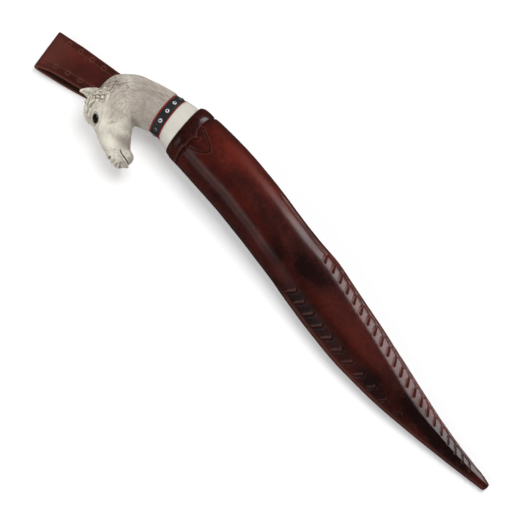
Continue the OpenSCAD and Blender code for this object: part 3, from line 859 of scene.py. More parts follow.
def make_studs():
    """Round-headed nails with a drilled middle. The drilled middle and the undersides are painted near
    black, and the studs towards the band's sides darker: painted shade.
    """
    profile = [(0.0, 0.0), (0.36, 0.02), (0.46, 0.16), (0.49, 0.38), (0.58, 0.48), (0.68, 0.45),
        (0.86, 0.32), (1.0, 0.16), (1.08, 0.0), (1.10, -0.5), (0.0, -0.6)]
    turns = circle(32)
    ahead = np.array([1.0, 0, 0])
    points, faces, pit = [], [], []
    for k in range(STUDS):
        a = 2 * math.pi * k / STUDS
        out = np.array([0, BAND_HALF[1] * math.cos(a), BAND_HALF[0] * math.sin(a)])
        out /= np.linalg.norm(out)
        side = np.array([0, -out[2], out[1]])
        # Studs towards the band's sides are painted darker: painted shade
        side_shade = 0.8 * float(ease((abs(math.cos(a)) - 0.55) / 0.3))
        middle = np.array([STACK / math.cos(COLLAR_LEAN) + SPACER + BAND_WIDTH / 2,
            BAND_ACROSS + (BAND_HALF[0] + 0.08) * math.cos(a), (BAND_HALF[1] + 0.08) * math.sin(a)])
        faces += grid_faces(len(profile), len(turns), len(points))
        for radius, height in profile:
            for t in turns:
                q = middle + out * height + (ahead * math.cos(t) + side * math.sin(t)) * radius
                points.append(stack_place(*q))
                pit.append(1.0 if radius < 0.5 and height < 0.5 or height < -0.1 else side_shade)
    piece = make_mesh("studs", place(np.array(points)), faces, {"pit": pit})
    face_outward(piece.data, merge=1e-7)
    settle(piece, "knife", "stud_chrome", CHROME, "collar_studs")


make_grip()
make_disc("red_spacer_low", STACK, SPACER, 1.25, 12.1, 9.7, 0.0, "red_fibre", FIBRE, "lower_red_spacer")
make_disc("band", STACK + SPACER, BAND_WIDTH, BAND_ACROSS, *BAND_HALF, 0.08, "black_band", BAND,
    "collar_band")
make_disc("red_spacer_high", STACK + SPACER + BAND_WIDTH, SPACER, 1.2, 11.7, 9.7, 0.0, "red_fibre",
    FIBRE, "upper_red_spacer")
make_studs()


# ---------------------------------------------------------------- horse's head
# Side outline, from the base along the crest, down the face, under the jaw and back along the throat.
HEAD_OUTLINE = [(3.0, -10.5), (9.5, -8.8), (16.2, -7.1), (19, -6.3), (22.1, -5.2), (25.7, -3.7),
    (28.3, -2.5), (31.2, -1.0), (34, 0.2), (36.7, 2.1), (39.1, 4.4), (41.3, 7.0), (43.1, 9.6),
    (44.2, 12), (44.6, 14.4), (44.5, 17), (44.0, 20), (43.4, 23), (42.9, 26), (42.6, 28.5),
    (42.4, 30.1), (41.8, 31.5), (41.1, 32.6), (40.1, 33.4), (39.0, 34.7), (37.0, 36.2), (35.3, 37.2),
    (33.4, 37.7), (32.0, 37.3), (31.0, 36.9), (27.7, 37.5), (24.6, 38.5), (21.3, 39.5), (18.4, 40.3),
    (15.7, 40.8), (13.3, 41.3), (12.0, 41.7), (11.2, 41.4), (10.1, 41.4), (9.2, 41.7), (8.0, 41.6),
    (6.6, 41.4), (5.5, 41.0), (4.3, 40.3), (4.3, 39.1), (3.6, 38.4), (2.5, 37.4), (2.0, 36.4),
    (2.6, 35.5), (3.0, 34.7), (2.9, 33.6), (3.4, 32.1), (4.2, 31.1), (5.5, 30.4), (7.0, 30.1),
    (8.3, 29.8), (10.3, 28.2), (12.5, 26.1), (14.7, 24.0), (16.4, 22.1), (17.2, 20.6), (16.9, 19.7),
    (15.5, 18.9), (13.6, 17.8), (11.8, 16.9), (10.5, 16.1), (4.5, 14.6), (-2.5, 12.9),]
# Thickness of the head: x, y, half thickness, width of its rounded edge
HEAD_DEPTHS = np.array([[3, 2, 9.7, 11.8], [13.4, 4.5, 9.7, 11.8], [22, 7, 9.8, 11.5],
    [33, 10, 9.3, 11], [41, 17, 8.4, 8], [23, 21, 10.5, 9], [18, 24, 9.9, 6.5], [34, 24, 9.7, 10],
    [33, 32, 9.3, 7.5], [24, 34.5, 7.6, 6.5], [18, 36.5, 6.7, 6], [16, 28, 7.9, 6.5],
    [10, 36.5, 6.7, 5.0], [5.5, 33, 5.5, 3.8], [5, 38, 5.3, 3.8], [12, 31, 6.3, 5.5],])


HEAD_POINTS = 420
HEAD_GRID = 0.5


def closed_line(points, count):
    ring = np.asarray(points, float)
    padded = np.concatenate([ring[-1:], ring, ring[:2]])
    return spline(padded, np.linspace(1, len(ring) + 1, count, endpoint=False))


def outline_distance(xy, outline):
    best = np.full(len(xy), 1e9)
    for a, b in zip(outline, np.roll(outline, -1, 0)):
        d = b - a
        t = np.clip(((xy - a) @ d) / max(d @ d, 1e-12), 0, 1)
        best = np.minimum(best, np.linalg.norm(xy - (a + t[:, None] * d), axis=1))
    return best


def head_field(xy):
    away = np.linalg.norm(xy[:, None] - HEAD_DEPTHS[None, :, :2], axis=-1)
    weight = 1 / (away**2.6 + 0.3)
    return (weight @ HEAD_DEPTHS[:, 2:]) / weight.sum(1, keepdims=True)


def head_blank():
    """The head as two bulging sheets on one outline."""
    outline = closed_line(HEAD_OUTLINE, HEAD_POINTS)
    outline[:, 0] += 0.42 * np.sin(outline[:, 1] * 2.35 + 0.6) * bump(outline[:, 1], 27,
        5.5) * (outline[:, 0] > 38)
    low, high = outline.min(0), outline.max(0)
    xs, ys = np.meshgrid(np.arange(low[0], high[0], HEAD_GRID), np.arange(low[1], high[1], HEAD_GRID))
    inner = np.stack([xs.ravel(), ys.ravel()], 1)
    inner = inner[inside_polygon(inner, outline)]
    inner = inner[outline_distance(inner, outline) > 0.3]
    step = np.roll(outline, -1, 0) - np.roll(outline, 1, 0)
    inward = np.stack([-step[:, 1], step[:, 0]], 1) / np.linalg.norm(step, axis=1, keepdims=True)
    if not inside_polygon(outline[:1] + inward[:1] * 0.2, outline)[0]:
        inward = -inward
    ring = outline + inward * 0.12
    flat = np.concatenate([outline, ring, inner])
    edges = [(k, (k + 1) % len(outline)) for k in range(len(outline))]
    verts, _, faces, *_ = delaunay_2d_cdt([Vector(p) for p in flat], edges, [], 1, 1e-5)
    flat = np.array([tuple(v) for v in verts])
    depth = outline_distance(flat, outline)
    field = head_field(flat)
    reach = np.minimum(depth / field[:, 1], 1)
    z = field[:, 0] * np.sqrt(np.maximum(1 - (1 - reach) ** 2.15, 0)) ** 1.05
    z[depth < 1e-4] = 0
    rim = depth < 1e-4
    points = [np.column_stack([flat, z])]
    under = np.where(rim, np.arange(len(flat)), len(flat) + np.cumsum(~rim) - 1)
    points.append(np.column_stack([flat[~rim], -z[~rim]]))
    all_faces = [tuple(f) for f in faces] + [tuple(int(under[v]) for v in reversed(f)) for f in faces]
    return np.concatenate(points), all_faces


def cone_rings(centres, radii, flatten, around=20):
    """Rings along a bent, tapering limb. flatten squeezes it along its third axis."""
    centres = np.asarray(centres, float)
    turns = circle(around)
    rings = []
    for k, (centre, radius) in enumerate(zip(centres, radii)):
        ahead = centres[min(k + 1, len(centres) - 1)] - centres[max(k - 1, 0)]
        ahead /= np.linalg.norm(ahead)
        side = np.cross(ahead, (0, 0, 1.0))
        side /= np.linalg.norm(side)
        high = np.cross(side, ahead)
        rings.append(centre + radius * (np.outer(np.cos(turns), side) + flatten
            * np.outer(np.sin(turns), high)))
    return np.array(rings)


def add_limb(points, faces, centres, radii, flatten=1.0):
    rings = cone_rings(centres, radii, flatten)
    faces += capped_faces(*rings.shape[:2], sum(len(p) for p in points))
    points.append(rings.reshape(-1, 3))


def voxel_solid(points, faces, voxel):
    """Joins overlapping closed shapes into one skin. Works in millimetres."""
    blank = make_mesh("blank", points, faces)
    remesh = blank.modifiers.new("remesh", "REMESH")
    remesh.mode = "VOXEL"
    remesh.voxel_size = voxel
    remesh.adaptivity = 0
    result = bpy.data.meshes.new_from_object(blank.evaluated_get(bpy.context.evaluated_depsgraph_get()))
    bpy.data.objects.remove(blank)
    return result


def read_array(items, field, width, kind=float):
    values = np.zeros(len(items) * width, kind)
    items.foreach_get(field, values)
    return values.reshape(-1, width)


def relax(points, edges, rounds, amount=0.5):
    """Laplacian smoothing that gives back the volume it takes."""
    count = np.bincount(edges.ravel(), minlength=len(points))[:, None]
    for k in range(rounds * 2):
        total = np.zeros_like(points)
        for axis in range(3):
            total[:, axis] = (np.bincount(edges[:, 0], points[edges[:, 1], axis], len(points))
                + np.bincount(edges[:, 1], points[edges[:, 0], axis], len(points)))
        pull = amount if k % 2 == 0 else -amount * 1.04
        points = points + (total / np.maximum(count, 1) - points) * pull
    return points


EYE_AT = np.array([30.9, 34.3])
EYE_TURN = math.radians(143)
HEAD_VOXEL = 0.25


def head_skin():
    """The head's blank with its ears, locks, lip and nostrils, as one skin."""
    blank_points, faces = head_blank()
    points = [blank_points]
    for side, back in ((1, 0.0), (-1, 1.0)):
        # Ear. The far one lies further back
        centres = np.array([(39.6, 24.4, 4.6), (41.3, 26.2, 6.0), (42.9, 28.0, 7.2), (44.5, 29.5, 7.9),
            (46.1, 30.9, 8.1), (47.1, 31.6, 8.1)])
        centres[:, :2] -= back * np.linspace(0, 1, 6)[:, None] * (3.4, 5.4)
        add_limb(points, faces, centres * (1, 1, side), [3.4, 3.3, 2.8, 2.2, 1.3, 0.55], 0.58)
    # Locks of the forelock, from the poll over the forehead, in waves
    for number, high in enumerate((-5.6, -3.6, -1.6, 0.4, 2.4, 4.4, 6.0)):
        wave = 0.35 * math.sin(number * 2.3)
        flat = 0.30 * (abs(high) / 6) ** 2
        lock = [(41.6 - 3.5 * flat, 26.6, high), (42.2 - 4 * flat, 29.4, high + 0.3),
            (41.3 - 5 * flat + wave, 31.7, high), (40.2 - 6 * flat, 33.0, high * 0.95 + 0.3),
            (38.5 - 6 * flat - wave, 34.6, high * 0.85), (36.6 - 5 * flat, 36.0, high * 0.7 + 0.2),
            (34.6 - 4 * flat + wave, 36.9, high * 0.55)]
        add_limb(points, faces, lock, [0.9, 1.0, 1.05, 0.95, 1.05, 0.9, 0.55])
    # Locks beside the brow
    for shift, bow in ((1.4, 0.3), (3.2, 0.6)):
        lock = np.array([(41.2 - shift, 26.2, 7.6), (40.9 - shift + bow, 29.0, 7.6),
            (39.9 - shift, 31.6, 7.0), (38.6 - shift + bow, 33.6, 5.8),
            (37.0 - shift * 0.7, 35.0, 4.4)])
        for side in (1, -1):
            add_limb(points, faces, lock * (1, 1, side), [0.8, 0.95, 0.9, 0.85, 0.5])
    # Upper lip and nostrils
    for x, y, out, size in ((10.2, 40.6, 3.4, 1.3), (7.2, 40.4, 3.0, 1.3), (5.4, 39.4, 2.6, 1.2)):
        for high in (out, -out):
            add_limb(points, faces, [(x + 0.6, y - 1.2, high * 0.9), (x + 0.2, y - 0.5, high),
                (x, y + 0.2, high), (x, y + 0.7, high)], [size * 0.8, size, size * 0.9, size * 0.4])
    mesh = voxel_solid(np.concatenate(points), faces, HEAD_VOXEL)
    smooth = relax(read_array(mesh.vertices, "co", 3), read_array(mesh.edges, "vertices", 2, int), 3)
    mesh.vertices.foreach_set("co", smooth.ravel())
    mesh.update()
    return mesh, smooth


def make_head():
    mesh, p = head_skin()
    normals = read_array(mesh.vertex_normals, "vector", 3)
    xy = p[:, :2]
    facing = ease(np.abs(normals[:, 2]) * 2.2)
    push, stain, ink, edge, grey = np.zeros((5, len(p)))

    def carve(line, width, depth, brown=0.0, black=0.0, start=0.0, end=0.0, bank=0.0, pale=0.0,
            steps=None, around=False):
        """A cut along a line: brown and black stain it, bank raises and pale lightens its sides."""
        who, dist, share, _ = near_line(xy, smooth_line(line, steps or 8 * len(line)), width * 3.5)
        fade = taper(share, start, end)
        if not around:
            fade = fade * facing[who]
        shape = bump(dist, 0, width) * fade
        push[who] -= depth * shape
        if bank:
            push[who] += bank * bump(dist, width * 2.0, width * 0.9) * fade
        if pale:
            edge[who] = np.maximum(edge[who], pale * bump(dist, width * 1.9, width * 0.9) * fade)
        stain[who] = np.maximum(stain[who], brown * shape)
        ink[who] = np.maximum(ink[who], black * shape**1.5)

    # Locks of the forelock stand apart
    along = (xy - np.array([42.4, 28.0])) @ np.array([-0.66, 0.75])
    off = (xy - np.array([42.4, 28.0])) @ np.array([0.75, 0.66])
    lock_area = ease((along + 0.5) / 1.5) * ease((12.5 - along) / 2.5) * ease((off + 2.6) / 1.4)
    push += lock_area * (0.26 * np.sin(p[:, 2] * 2.7 + 1.4 * np.sin(along * 1.0)) + 0.24
        * np.sin(along * 2.3 + p[:, 2] * 1.1))
    dark = np.clip(-np.sin(p[:, 2] * 2.7 + 1.4 * np.sin(along * 1.0)) - 0.35, 0, 1)
    stain = np.maximum(stain, 0.5 * lock_area * dark)
    edge = np.maximum(edge, 0.5 * lock_area * (1 - dark))

    # Eye: a hollow, a raised rim round it and a brow over it
    local = xy - EYE_AT
    a = local @ np.array([math.cos(EYE_TURN), math.sin(EYE_TURN)])
    b = local @ np.array([-math.sin(EYE_TURN), math.cos(EYE_TURN)])
    oval = np.sqrt((a / 2.95) ** 2 + (b / 1.5) ** 2)
    push += facing * (0.36 * bump(oval, 1.22, 0.22) - 0.5 * np.exp(-(oval / 0.9) ** 4))
    edge = np.maximum(edge, 0.55 * facing * bump(oval, 1.22, 0.2))
    stain = np.maximum(stain, 0.4 * facing * bump(oval, 0.98, 0.12))
    carve([(26.9, 37.0), (27.6, 34.6), (28.6, 32.8)], 0.35, 0.18, 0.25, end=0.4)
    # Brow ridge and the creases either side of it
    carve([(34.6, 36.0), (35.9, 33.6), (36.3, 31.2), (35.9, 28.6), (35.2, 25.8)], 0.45, -0.55, end=0.35,
        start=0.2, pale=0.4)
    carve([(33.8, 35.6), (34.9, 33.4), (35.1, 31.0), (34.4, 28.6)], 0.35, 0.35, 0.35, end=0.4)
    carve([(35.9, 36.2), (37.1, 33.8), (37.4, 31.2), (37.2, 28.4)], 0.34, 0.45, 0.8, end=0.3, pale=0.7)
    # Curls of the forelock behind the brow: line, width, depth, stain, pale banks
    for line, width, depth, brown, pale in (([(40.6, 27.6), (39.7, 25.6), (38.2, 24.8)], 0.36, 0.55,
            0.9, 1.0), ([(38.9, 27.9), (37.9, 26.7), (36.6, 26.1), (35.6, 24.4)], 0.36, 0.55, 0.9, 1.0),
            ([(39.2, 24.0), (37.4, 23.7), (37.0, 21.8)], 0.36, 0.5, 0.9, 1.0),
            ([(40.9, 24.2), (39.9, 22.6), (40.1, 20.6)], 0.34, 0.5, 0.8, 0.9),
            ([(39.6, 30.6), (38.9, 32.8), (37.6, 34.6)], 0.34, 0.55, 0.8, 0.9),
            ([(41.0, 29.6), (40.3, 31.6), (39.3, 33.4)], 0.34, 0.55, 0.8, 0.9)):
        carve(line, width, depth, brown, pale=pale)
    for line in ([(40.8, 25.4), (38.6, 27.2), (37.6, 29.6), (37.2, 32.6)],
            [(39.8, 24.2), (37.2, 25.4), (35.6, 27.6)],
            [(41.8, 26.4), (39.9, 28.4), (38.8, 31.2), (38.0, 33.6)],
            [(38.4, 22.4), (36.0, 23.4), (34.6, 25.4)]):
        carve(line, 0.42, -0.42, start=0.25, end=0.3, pale=0.8)
        carve([(x + 0.45, y + 0.5) for x, y in line], 0.30, 0.45, 0.85, start=0.25, end=0.3)
    # Ear's hollow
    carve([(46.2, 30.9), (44.8, 30.0), (43.2, 29.2), (41.5, 28.6)], 0.95, 1.3, 0.30, start=0.25,
        end=0.2)
    carve([(45.2, 30.6), (43.8, 30.3), (42.4, 29.8)], 0.4, 0.4, 0.5, start=0.3, end=0.3)
    # Pits and short hairs of the mane, laid round the throat
    seed = np.random.default_rng(7)
    throat = np.array([16.6, 20.6])

    def hair_stroke(x, y, length, width, depth, brown):
        ray = np.array([x, y]) - throat
        ahead = np.array([-ray[1], ray[0]]) / np.linalg.norm(ray)
        ahead += seed.normal(0, 0.22, 2)
        middle = np.array([x, y])
        carve([middle - ahead * length / 2, middle + seed.normal(0, 0.12, 2),
            middle + ahead * length / 2], width, depth, brown, start=0.3, end=0.3, steps=7)

    for x, y in ((39.7, 14.3), (38.9, 15.9), (37.7, 14.9), (35.6, 11.1), (34.0, 11.5), (32.7, 12.0),
            (39.1, 20.3), (37.9, 19.4), (36.2, 14.3), (36.2, 12.4), (38.0, 17.7), (41.3, 13.2),
            (41.6, 17.4), (40.6, 19.0)):
        hair_stroke(x, y, 1.5 + 0.8 * seed.random(), 0.27, 0.4, 0.95)
    for _ in range(150):
        y = 8 + 20 * seed.random()
        crest = np.interp(y, [8, 12, 17, 23, 30], [41.8, 44.2, 44.4, 43.4, 42.4])
        x = crest - 1.0 - 7.5 * seed.random() ** 1.3
        hair_stroke(x, y, 1.2 + 1.6 * seed.random(), 0.17 + 0.08 * seed.random(), 0.2,
            0.25 + 0.45 * seed.random())
    for _ in range(260):
        turned = math.radians(-75 + 255 * seed.random())
        far = 4 + 21 * seed.random()
        x, y = throat[0] + far * math.cos(turned), throat[1] + far * math.sin(turned)
        hair_stroke(x, y, 1.5 + 2.5 * seed.random(), 0.16, 0.10, 0.05 + 0.20 * seed.random())
    # Folds of the cheek and jaw, nostril, mouth
    carve([(25.6, 32.2), (24.1, 30.3), (23.0, 28.4), (22.0, 26.4)], 0.4, 0.28, 0.4, start=0.3, end=0.3)
    carve([(17.4, 20.4), (20.0, 18.8), (23.6, 17.2), (26.6, 17.4)], 1.2, 0.45, 0.12, end=0.5)
    carve([(10.4, 34.6), (9.7, 35.05), (8.6, 35.35), (6.8, 35.5), (4.6, 35.4), (1.6, 35.5)], 0.35, 0.8,
        0.0, 1.0, start=0.12, bank=0.16, pale=0.9, around=True)
    carve([(12.0, 41.6), (11.3, 41.0), (10.4, 40.7)], 0.5, 0.7, 0.95, 0.0, start=0.2, end=0.3,
        bank=0.15, around=True)
    carve([(8.8, 41.4), (8.4, 40.4), (8.9, 39.6)], 0.3, 0.35, 0.6, end=0.3, around=True)
    carve([(6.4, 41.4), (6.3, 40.3), (6.8, 39.4)], 0.3, 0.35, 0.6, end=0.3, around=True)
    carve([(4.2, 39.8), (5.0, 39.2), (5.6, 38.2)], 0.3, 0.35, 0.5, end=0.3, around=True)
    carve([(13.6, 38.6), (11.4, 37.9), (9.4, 38.3)], 0.55, 0.25, 0.1, start=0.4, end=0.4)
    carve([(8.2, 32.9), (7.2, 33.2), (6.4, 32.8)], 0.45, 0.18, 0.45, start=0.4, end=0.4)
    carve([(8.5, 39.8), (7.6, 40.8)], 0.4, 0.25, 0.3)
    carve([(5.2, 38.6), (4.6, 40.2)], 0.4, 0.3, 0.3)
    # Small pocks of the muzzle
    for _ in range(46):
        x, y = 3.5 + 9 * seed.random(), 31.5 + 9 * seed.random()
        carve([(x, y), (x + 0.5 * seed.normal(), y + 0.5 * seed.normal())], 0.26, 0.09, 0.35, steps=3)

    # Hair: flows round the throat, from the muzzle over the cheek and along the neck
    ray = xy - throat
    radius = np.linalg.norm(ray, axis=1)
    angle = np.arctan2(ray[:, 1], ray[:, 0])
    hair = np.stack([radius + 1.6 * np.sin(angle * 3.0) + 0.5 * np.sin(angle * 7.0 + radius * 0.4),
        angle * 6.0, p[:, 2]], 1)
    ridges = (np.sin(hair[:, 0] * 5.2 + 2.9 * np.sin(angle * 4.3 + 0.7) + 1.3 * np.sin(p[:, 2] * 0.9))
        * np.sin(angle * 9 + 2.2 * np.sin(hair[:, 0] * 0.8) + p[:, 2] * 0.5))
    neck_hair = ease((12.5 - (xy[:, 1] - 0.30 * xy[:, 0])) / 8)
    push += 0.05 * ridges * facing * (0.35 + neck_hair)

    # Mauve-grey patches, brown streaks and pale edges. Patches: x, y, length, breadth, amount
    for *patch, amount in ((11.5, 30.5, 4.2, 3.2, 1.1), (30, 7, 8, 5, 0.75), (23, 14, 6, 5, 0.65),
            (38, 15, 5, 5, 0.6), (6.5, 38, 3.5, 3, 0.5), (28, 24, 4, 4, 0.2), (20, 4, 6, 7, 1.0),
            (15, 12, 5, 6, 1.0), (34, 22, 5, 5, 0.3), (14, 3, 4, 12, 0.5)):
        grey += amount * spot(xy, *patch)
    for line, amount in (([(30.2, 11.7), (27.6, 7.3), (23.6, 3.5), (16.4, -1.3)], 0.5),
            ([(33, 9), (29, 4.2), (24, 0.5)], 0.35), ([(21.5, 10), (20, 12), (17.5, 15)], 0.4),
            ([(24, 6), (20, 3.5), (14.5, 1)], 0.35)):
        who, dist, _, _ = near_line(xy, smooth_line(line, 24), 2.4)
        streak = amount * bump(dist, 0, 0.9) * facing[who] * (0.5 + 0.5 * ridges[who])
        stain[who] = np.maximum(stain[who], streak)
    stain = np.maximum(stain, 0.30 * spot(xy, 12.0, 30.8, 4.6, 3.6))
    edge = np.maximum(edge, 0.5 * ease((xy[:, 0] - 41.5) / 4) * (xy[:, 1] > 27))
    for *patch, amount in ((17, 36.5, 6, 3.4, 1.0), (26, 33, 5, 4, 0.8), (10, 39, 5, 2.5, 0.8),
            (20, 29, 5, 4, 0.6), (7, 33.5, 3, 2, 0.7), (33, 28, 4, 4, 0.4), (36, 9, 5, 2, 0.4)):
        edge = np.maximum(edge, amount * spot(xy, *patch))
    edge *= 1 - 0.8 * spot(xy, 11.8, 30.5, 4.0, 3.4)
    edge = np.maximum(edge, 0.35 * (1 - facing))

    mesh.vertices.foreach_set("co", (p + normals * push[:, None]).ravel())
    set_attributes(mesh, {"stain": stain, "ink": ink, "edge": edge, "grey": np.clip(grey, 0, 1),
        "hair": hair})
    cut_base(mesh)
    mesh.vertices.foreach_set("co", place(read_array(mesh.vertices, "co", 3)).ravel())
    mesh.update()
    mesh.polygons.foreach_set("use_smooth", [True] * len(mesh.polygons))
    settle(add_object("head", mesh), "knife", "antler", ANTLER, "horse_head")


def cut_base(mesh):
    """Cuts the head's base flush with the upper spacer. The muzzle hangs past the cut and stays."""
    base = stack_place((STACK + 2 * SPACER + BAND_WIDTH) / math.cos(COLLAR_LEAN), 1.2, 0.0)
    ahead = stack_place(1.0, 0.0, 0.0)
    muzzle = 24
    work = bmesh.new()
    work.from_mesh(mesh)
    neck = [v for v in work.verts if v.co.y < muzzle]
    for group in (work.edges, work.faces):
        neck += [item for item in group if max(v.co.y for v in item.verts) < muzzle]
    bmesh.ops.bisect_plane(work, geom=neck, plane_co=Vector(base), plane_no=Vector(ahead),
        clear_inner=True)
    bmesh.ops.holes_fill(work, edges=[e for e in work.edges if e.is_boundary])
    work.to_mesh(mesh)
    work.free()


def make_eye(side, name, node):
    """A glossy almond, pointed at both ends."""
    turns = circle(40)
    ahead = np.array([math.cos(EYE_TURN), math.sin(EYE_TURN)])
    rings = []
    for level in np.linspace(-math.pi / 2, math.pi / 2, 27)[1:-1]:
        r = math.cos(level) ** 1.15
        a = 2.9 * math.sin(level)
        b = 1.45 * r * np.cos(turns)
        c = 1.6 * r * np.sin(turns)
        rings.append(np.stack([EYE_AT[0] + a * ahead[0] - b * ahead[1],
            EYE_AT[1] + a * ahead[1] + b * ahead[0], (6.95 + c) * side], -1))
    settle(closed_loft(name, rings), "knife", "eye_glass", EYE, node)


make_head()
make_eye(1, "eye_near", "eye_left")
make_eye(-1, "eye_far", "eye_right")


# ---------------------------------------------------------------- belt loop
STRAP = 2.4
LOOP_LENGTH = 86.4
LOOP_HEIGHT = 9.9
FOLD_RADIUS = 3.0
FOLD_MIDDLE = 4.9
FOLD_CENTRE = LOOP_LENGTH - FOLD_RADIUS
LOOP_PEAK = 62.0


def top_of(u):
    return (2 * STRAP + (LOOP_HEIGHT - 2 * STRAP) * ease((u - 8) / (LOOP_PEAK - 8))
        - (LOOP_HEIGHT - FOLD_MIDDLE - FOLD_RADIUS) * ease((u - LOOP_PEAK) / (FOLD_CENTRE - LOOP_PEAK)))


def under_of(u):
    return (FOLD_MIDDLE - FOLD_RADIUS) * ease((u - 66) / (FOLD_CENTRE - 66))


UPPER_END = -19
TAIL_END = -35.2
STRAP_STEP = 0.5
MOUTH_HALF = 6.8
RIVETS_AT = (-12, -28)


def strap_path():
    """Outer face of the strap from its upper end, out over the fold and back under the sheath.

    Each row is u, z, outward u, outward z, thickness, half width to the right and to the left."""
    rows = []
    for u in np.arange(UPPER_END, FOLD_CENTRE - 0.01, STRAP_STEP):
        back = MOUTH[2] - BACK_FLAT + u * math.sin(LIE_SLOPE) - 0.08
        z = min(float(top_of(np.array(u))), back)
        thick = min(STRAP, z - STRAP - 0.03)
        rows.append((u, z, thick))
    top = np.array(rows)
    turn = np.linspace(math.pi / 2, -math.pi / 2, 26)[1:-1]
    fold = np.stack([FOLD_CENTRE + FOLD_RADIUS * np.cos(turn), FOLD_MIDDLE + FOLD_RADIUS * np.sin(turn),
        0 * turn + STRAP], 1)
    u = np.arange(FOLD_CENTRE, TAIL_END, -STRAP_STEP)
    under = np.stack([u, under_of(u), 0 * u + STRAP], 1)
    path = np.concatenate([top, fold, under])
    along = np.gradient(path[:, :2], axis=0)
    along /= np.linalg.norm(along, axis=1, keepdims=True)
    outward = np.stack([-along[:, 1], along[:, 0]], 1)
    half = MOUTH_HALF + 3.6 * (path[:, 0] + 4) / 87.3
    half = np.where(path[:, 0] < -4, MOUTH_HALF - 0.4 * ease((-path[:, 0] - 4) / 20), half)
    below = np.arange(len(path)) >= len(top) + 12
    spread = np.where(below, np.interp(path[:, 0], [15, 44, 60, 78], [0, 0.6, 1.3, 1.7]),
        ease((path[:, 0] - 77) / 7))
    ends = np.where(below, path[:, 0] + 35.4, path[:, 0] + 19.4)
    rounding = np.sqrt(np.clip(1 - (1 - np.clip(ends / 6.4, 0, 1)) ** 2, 0.02, 1))
    in_tail = path[:, 0] < -10
    right = np.where(in_tail, half * rounding, half)
    left = right + spread - 1.3 * bump(path[:, 0], 12, 13)
    return np.column_stack([path[:, :2], outward, path[:, 2], right, left]), len(top)


def strap_place(u, v, z):
    """From the loop's directions to the row frame, in millimetres. The tail turns into the draw line."""
    bend = ease((-u + 1.0) / 8.0)
    across = LOOP_ANGLE * (1 - bend)
    loop_x = np.maximum(u, 0) * math.cos(LOOP_ANGLE)
    loop_y = LOOP_Y + np.maximum(u, 0) * math.sin(LOOP_ANGLE) + np.minimum(u, 0) * 0.062
    x = MOUTH[0] + loop_x + np.minimum(u, 0) - v * np.sin(across)
    y = MOUTH[1] + loop_y + v * np.cos(across)
    return np.stack([x, y, z], -1)


def strap_sections(thick, right, left):
    """Round the strap: place across and depth of each column, and 0 outer face, 1 edge, 2 inner face."""
    corner = 0.35
    quarter = np.linspace(0, math.pi / 2, 4)

    def face(s):
        return s * ((right if s < 0 else left) - corner)

    columns = [(face(s), 0 * thick, 0) for s in np.linspace(-1, 1, 61)]
    for t in quarter[1:]:
        columns.append((left - corner + corner * math.sin(t), corner * (1 - math.cos(t)) + 0 * thick,
            1))
    for t in quarter[:-1]:
        columns.append((left - corner + corner * math.cos(t), thick - corner + corner * math.sin(t), 1))
    columns += [(face(s), thick, 2) for s in np.linspace(1, -1, 21)]
    for t in quarter[1:]:
        columns.append((corner - right - corner * math.sin(t), thick - corner + corner * math.cos(t),
            1))
    for t in quarter[:-1]:
        columns.append((corner - right - corner * math.cos(t),
            corner - corner * math.sin(t) + 0 * thick, 1))
    v, depth, kinds = zip(*columns)
    return np.stack(v, 1), np.stack(depth, 1), np.array(kinds)


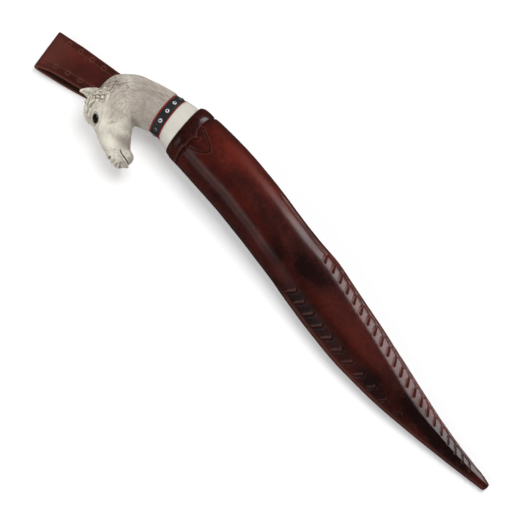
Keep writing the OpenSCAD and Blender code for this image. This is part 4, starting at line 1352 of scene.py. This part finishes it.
def make_strap():
    path, top_count = strap_path()
    u0, z0, nu, nz, thick, right, left = path.T
    v, depth, kinds = strap_sections(thick, right, left)
    outer = (kinds == 0)[None]
    u0, z0, nu, nz, right, left = (column[:, None] for column in (u0, z0, nu, nz, right, left))

    # Tooling on the outer face: a border line near each edge, with ring stamps on it. The light bank
    # beside each line and the light ring round each stamp are painted highlights.
    run = np.arange(len(path))[:, None] * STRAP_STEP
    press, cut, rim = np.zeros((3, *v.shape))
    sides = ((v + right, 2.8, 6.1), (left - v, 3.5, 7.4))
    shown = (u0 > 2) * outer * (1 - ease((u0 - 79.5) / 3.5))
    for inset, line, _ in sides:
        groove = bump(inset, line, 0.40) * shown
        second = bump(inset, 1.2, 0.3) * shown
        press += 0.42 * groove - 0.14 * bump(inset, line + 1.0, 0.45) * shown
        cut = np.maximum(cut, 0.55 * groove)
        rim = np.maximum(rim, 0.22 * bump(inset, line + 0.8, 0.35) * shown)
        cut = np.maximum(cut, 0.38 * ease(line - inset) * outer)
        press += 0.16 * second
        cut = np.maximum(cut, 0.35 * second)
    for inset, line, shift in sides:
        for k in range(-9, 10):
            r = np.hypot(run - (run[top_count] - shift - 7.45 * k), inset - line)
            ring = bump(r, 0.62, 0.26) * shown
            press += 0.40 * ring - 0.10 * bump(r, 0, 0.35) * shown
            cut = np.where(r < 1.5, np.maximum(0.7 * ring, 0.2 * shown), cut)
            rim = np.maximum(rim, 0.85 * bump(r, 1.12, 0.25) * shown)
    # Lighter cut edges and a lighter band along them, darker towards the mouth end, and a lighter fold,
    # which is a painted sheen
    rim[:, kinds == 1] = 0.5
    cut = np.maximum(cut, 0.35 * ease((44 - u0) / 30) * outer)
    rim = np.maximum(rim, 0.22 * ease((u0 - 66) / 16) * outer)
    rim = np.maximum(rim, 0.35 * bump(np.minimum(v + right, left - v), 0, 0.5) * outer)
    depth = depth + press
    # Hollows for the two rivet heads under the tail
    below = (np.arange(len(path)) > top_count)[:, None] * outer
    for x in RIVETS_AT:
        depth += 1.25 * (np.hypot(u0 - x, v + 0.4) < 3.45) * below
    wave = 0.10 * np.sin(u0 / 7.0) * np.sin(v / 5.0 + 0.6) * (u0 > 10) * outer
    depth = depth + np.maximum(wave, 0)

    points = strap_place(u0 - nu * depth, v, np.maximum(z0 - nz * depth, 0.0)) * MM
    # The inner face is the flesh side, painted dark as shade inside the loop
    flesh = (kinds == 2) + 0 * v
    strap = make_mesh("strap", points.reshape(-1, 3), capped_faces(*v.shape),
        {"cut": np.clip(cut, 0, 1).ravel(), "rim": rim.ravel(), "flesh": flesh.ravel()})
    settle(strap, None, "strap_leather", STRAP_LEATHER, "belt_loop", "loop_tail")
    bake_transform(strap)


make_strap()


# ---------------------------------------------------------------- CAD pieces that keep their shape
for node, material in (("blade", STEEL), ("bolster", BRASS), ("bolster_spacer", FIBRE),
        ("blade_liner_front", WOOD), ("blade_liner_back", WOOD), ("back_seam_stitches", THREAD),
        ("loop_rivets", BRASS)):
    nodes[node].data.materials.clear()
    nodes[node].data.materials.append(material)
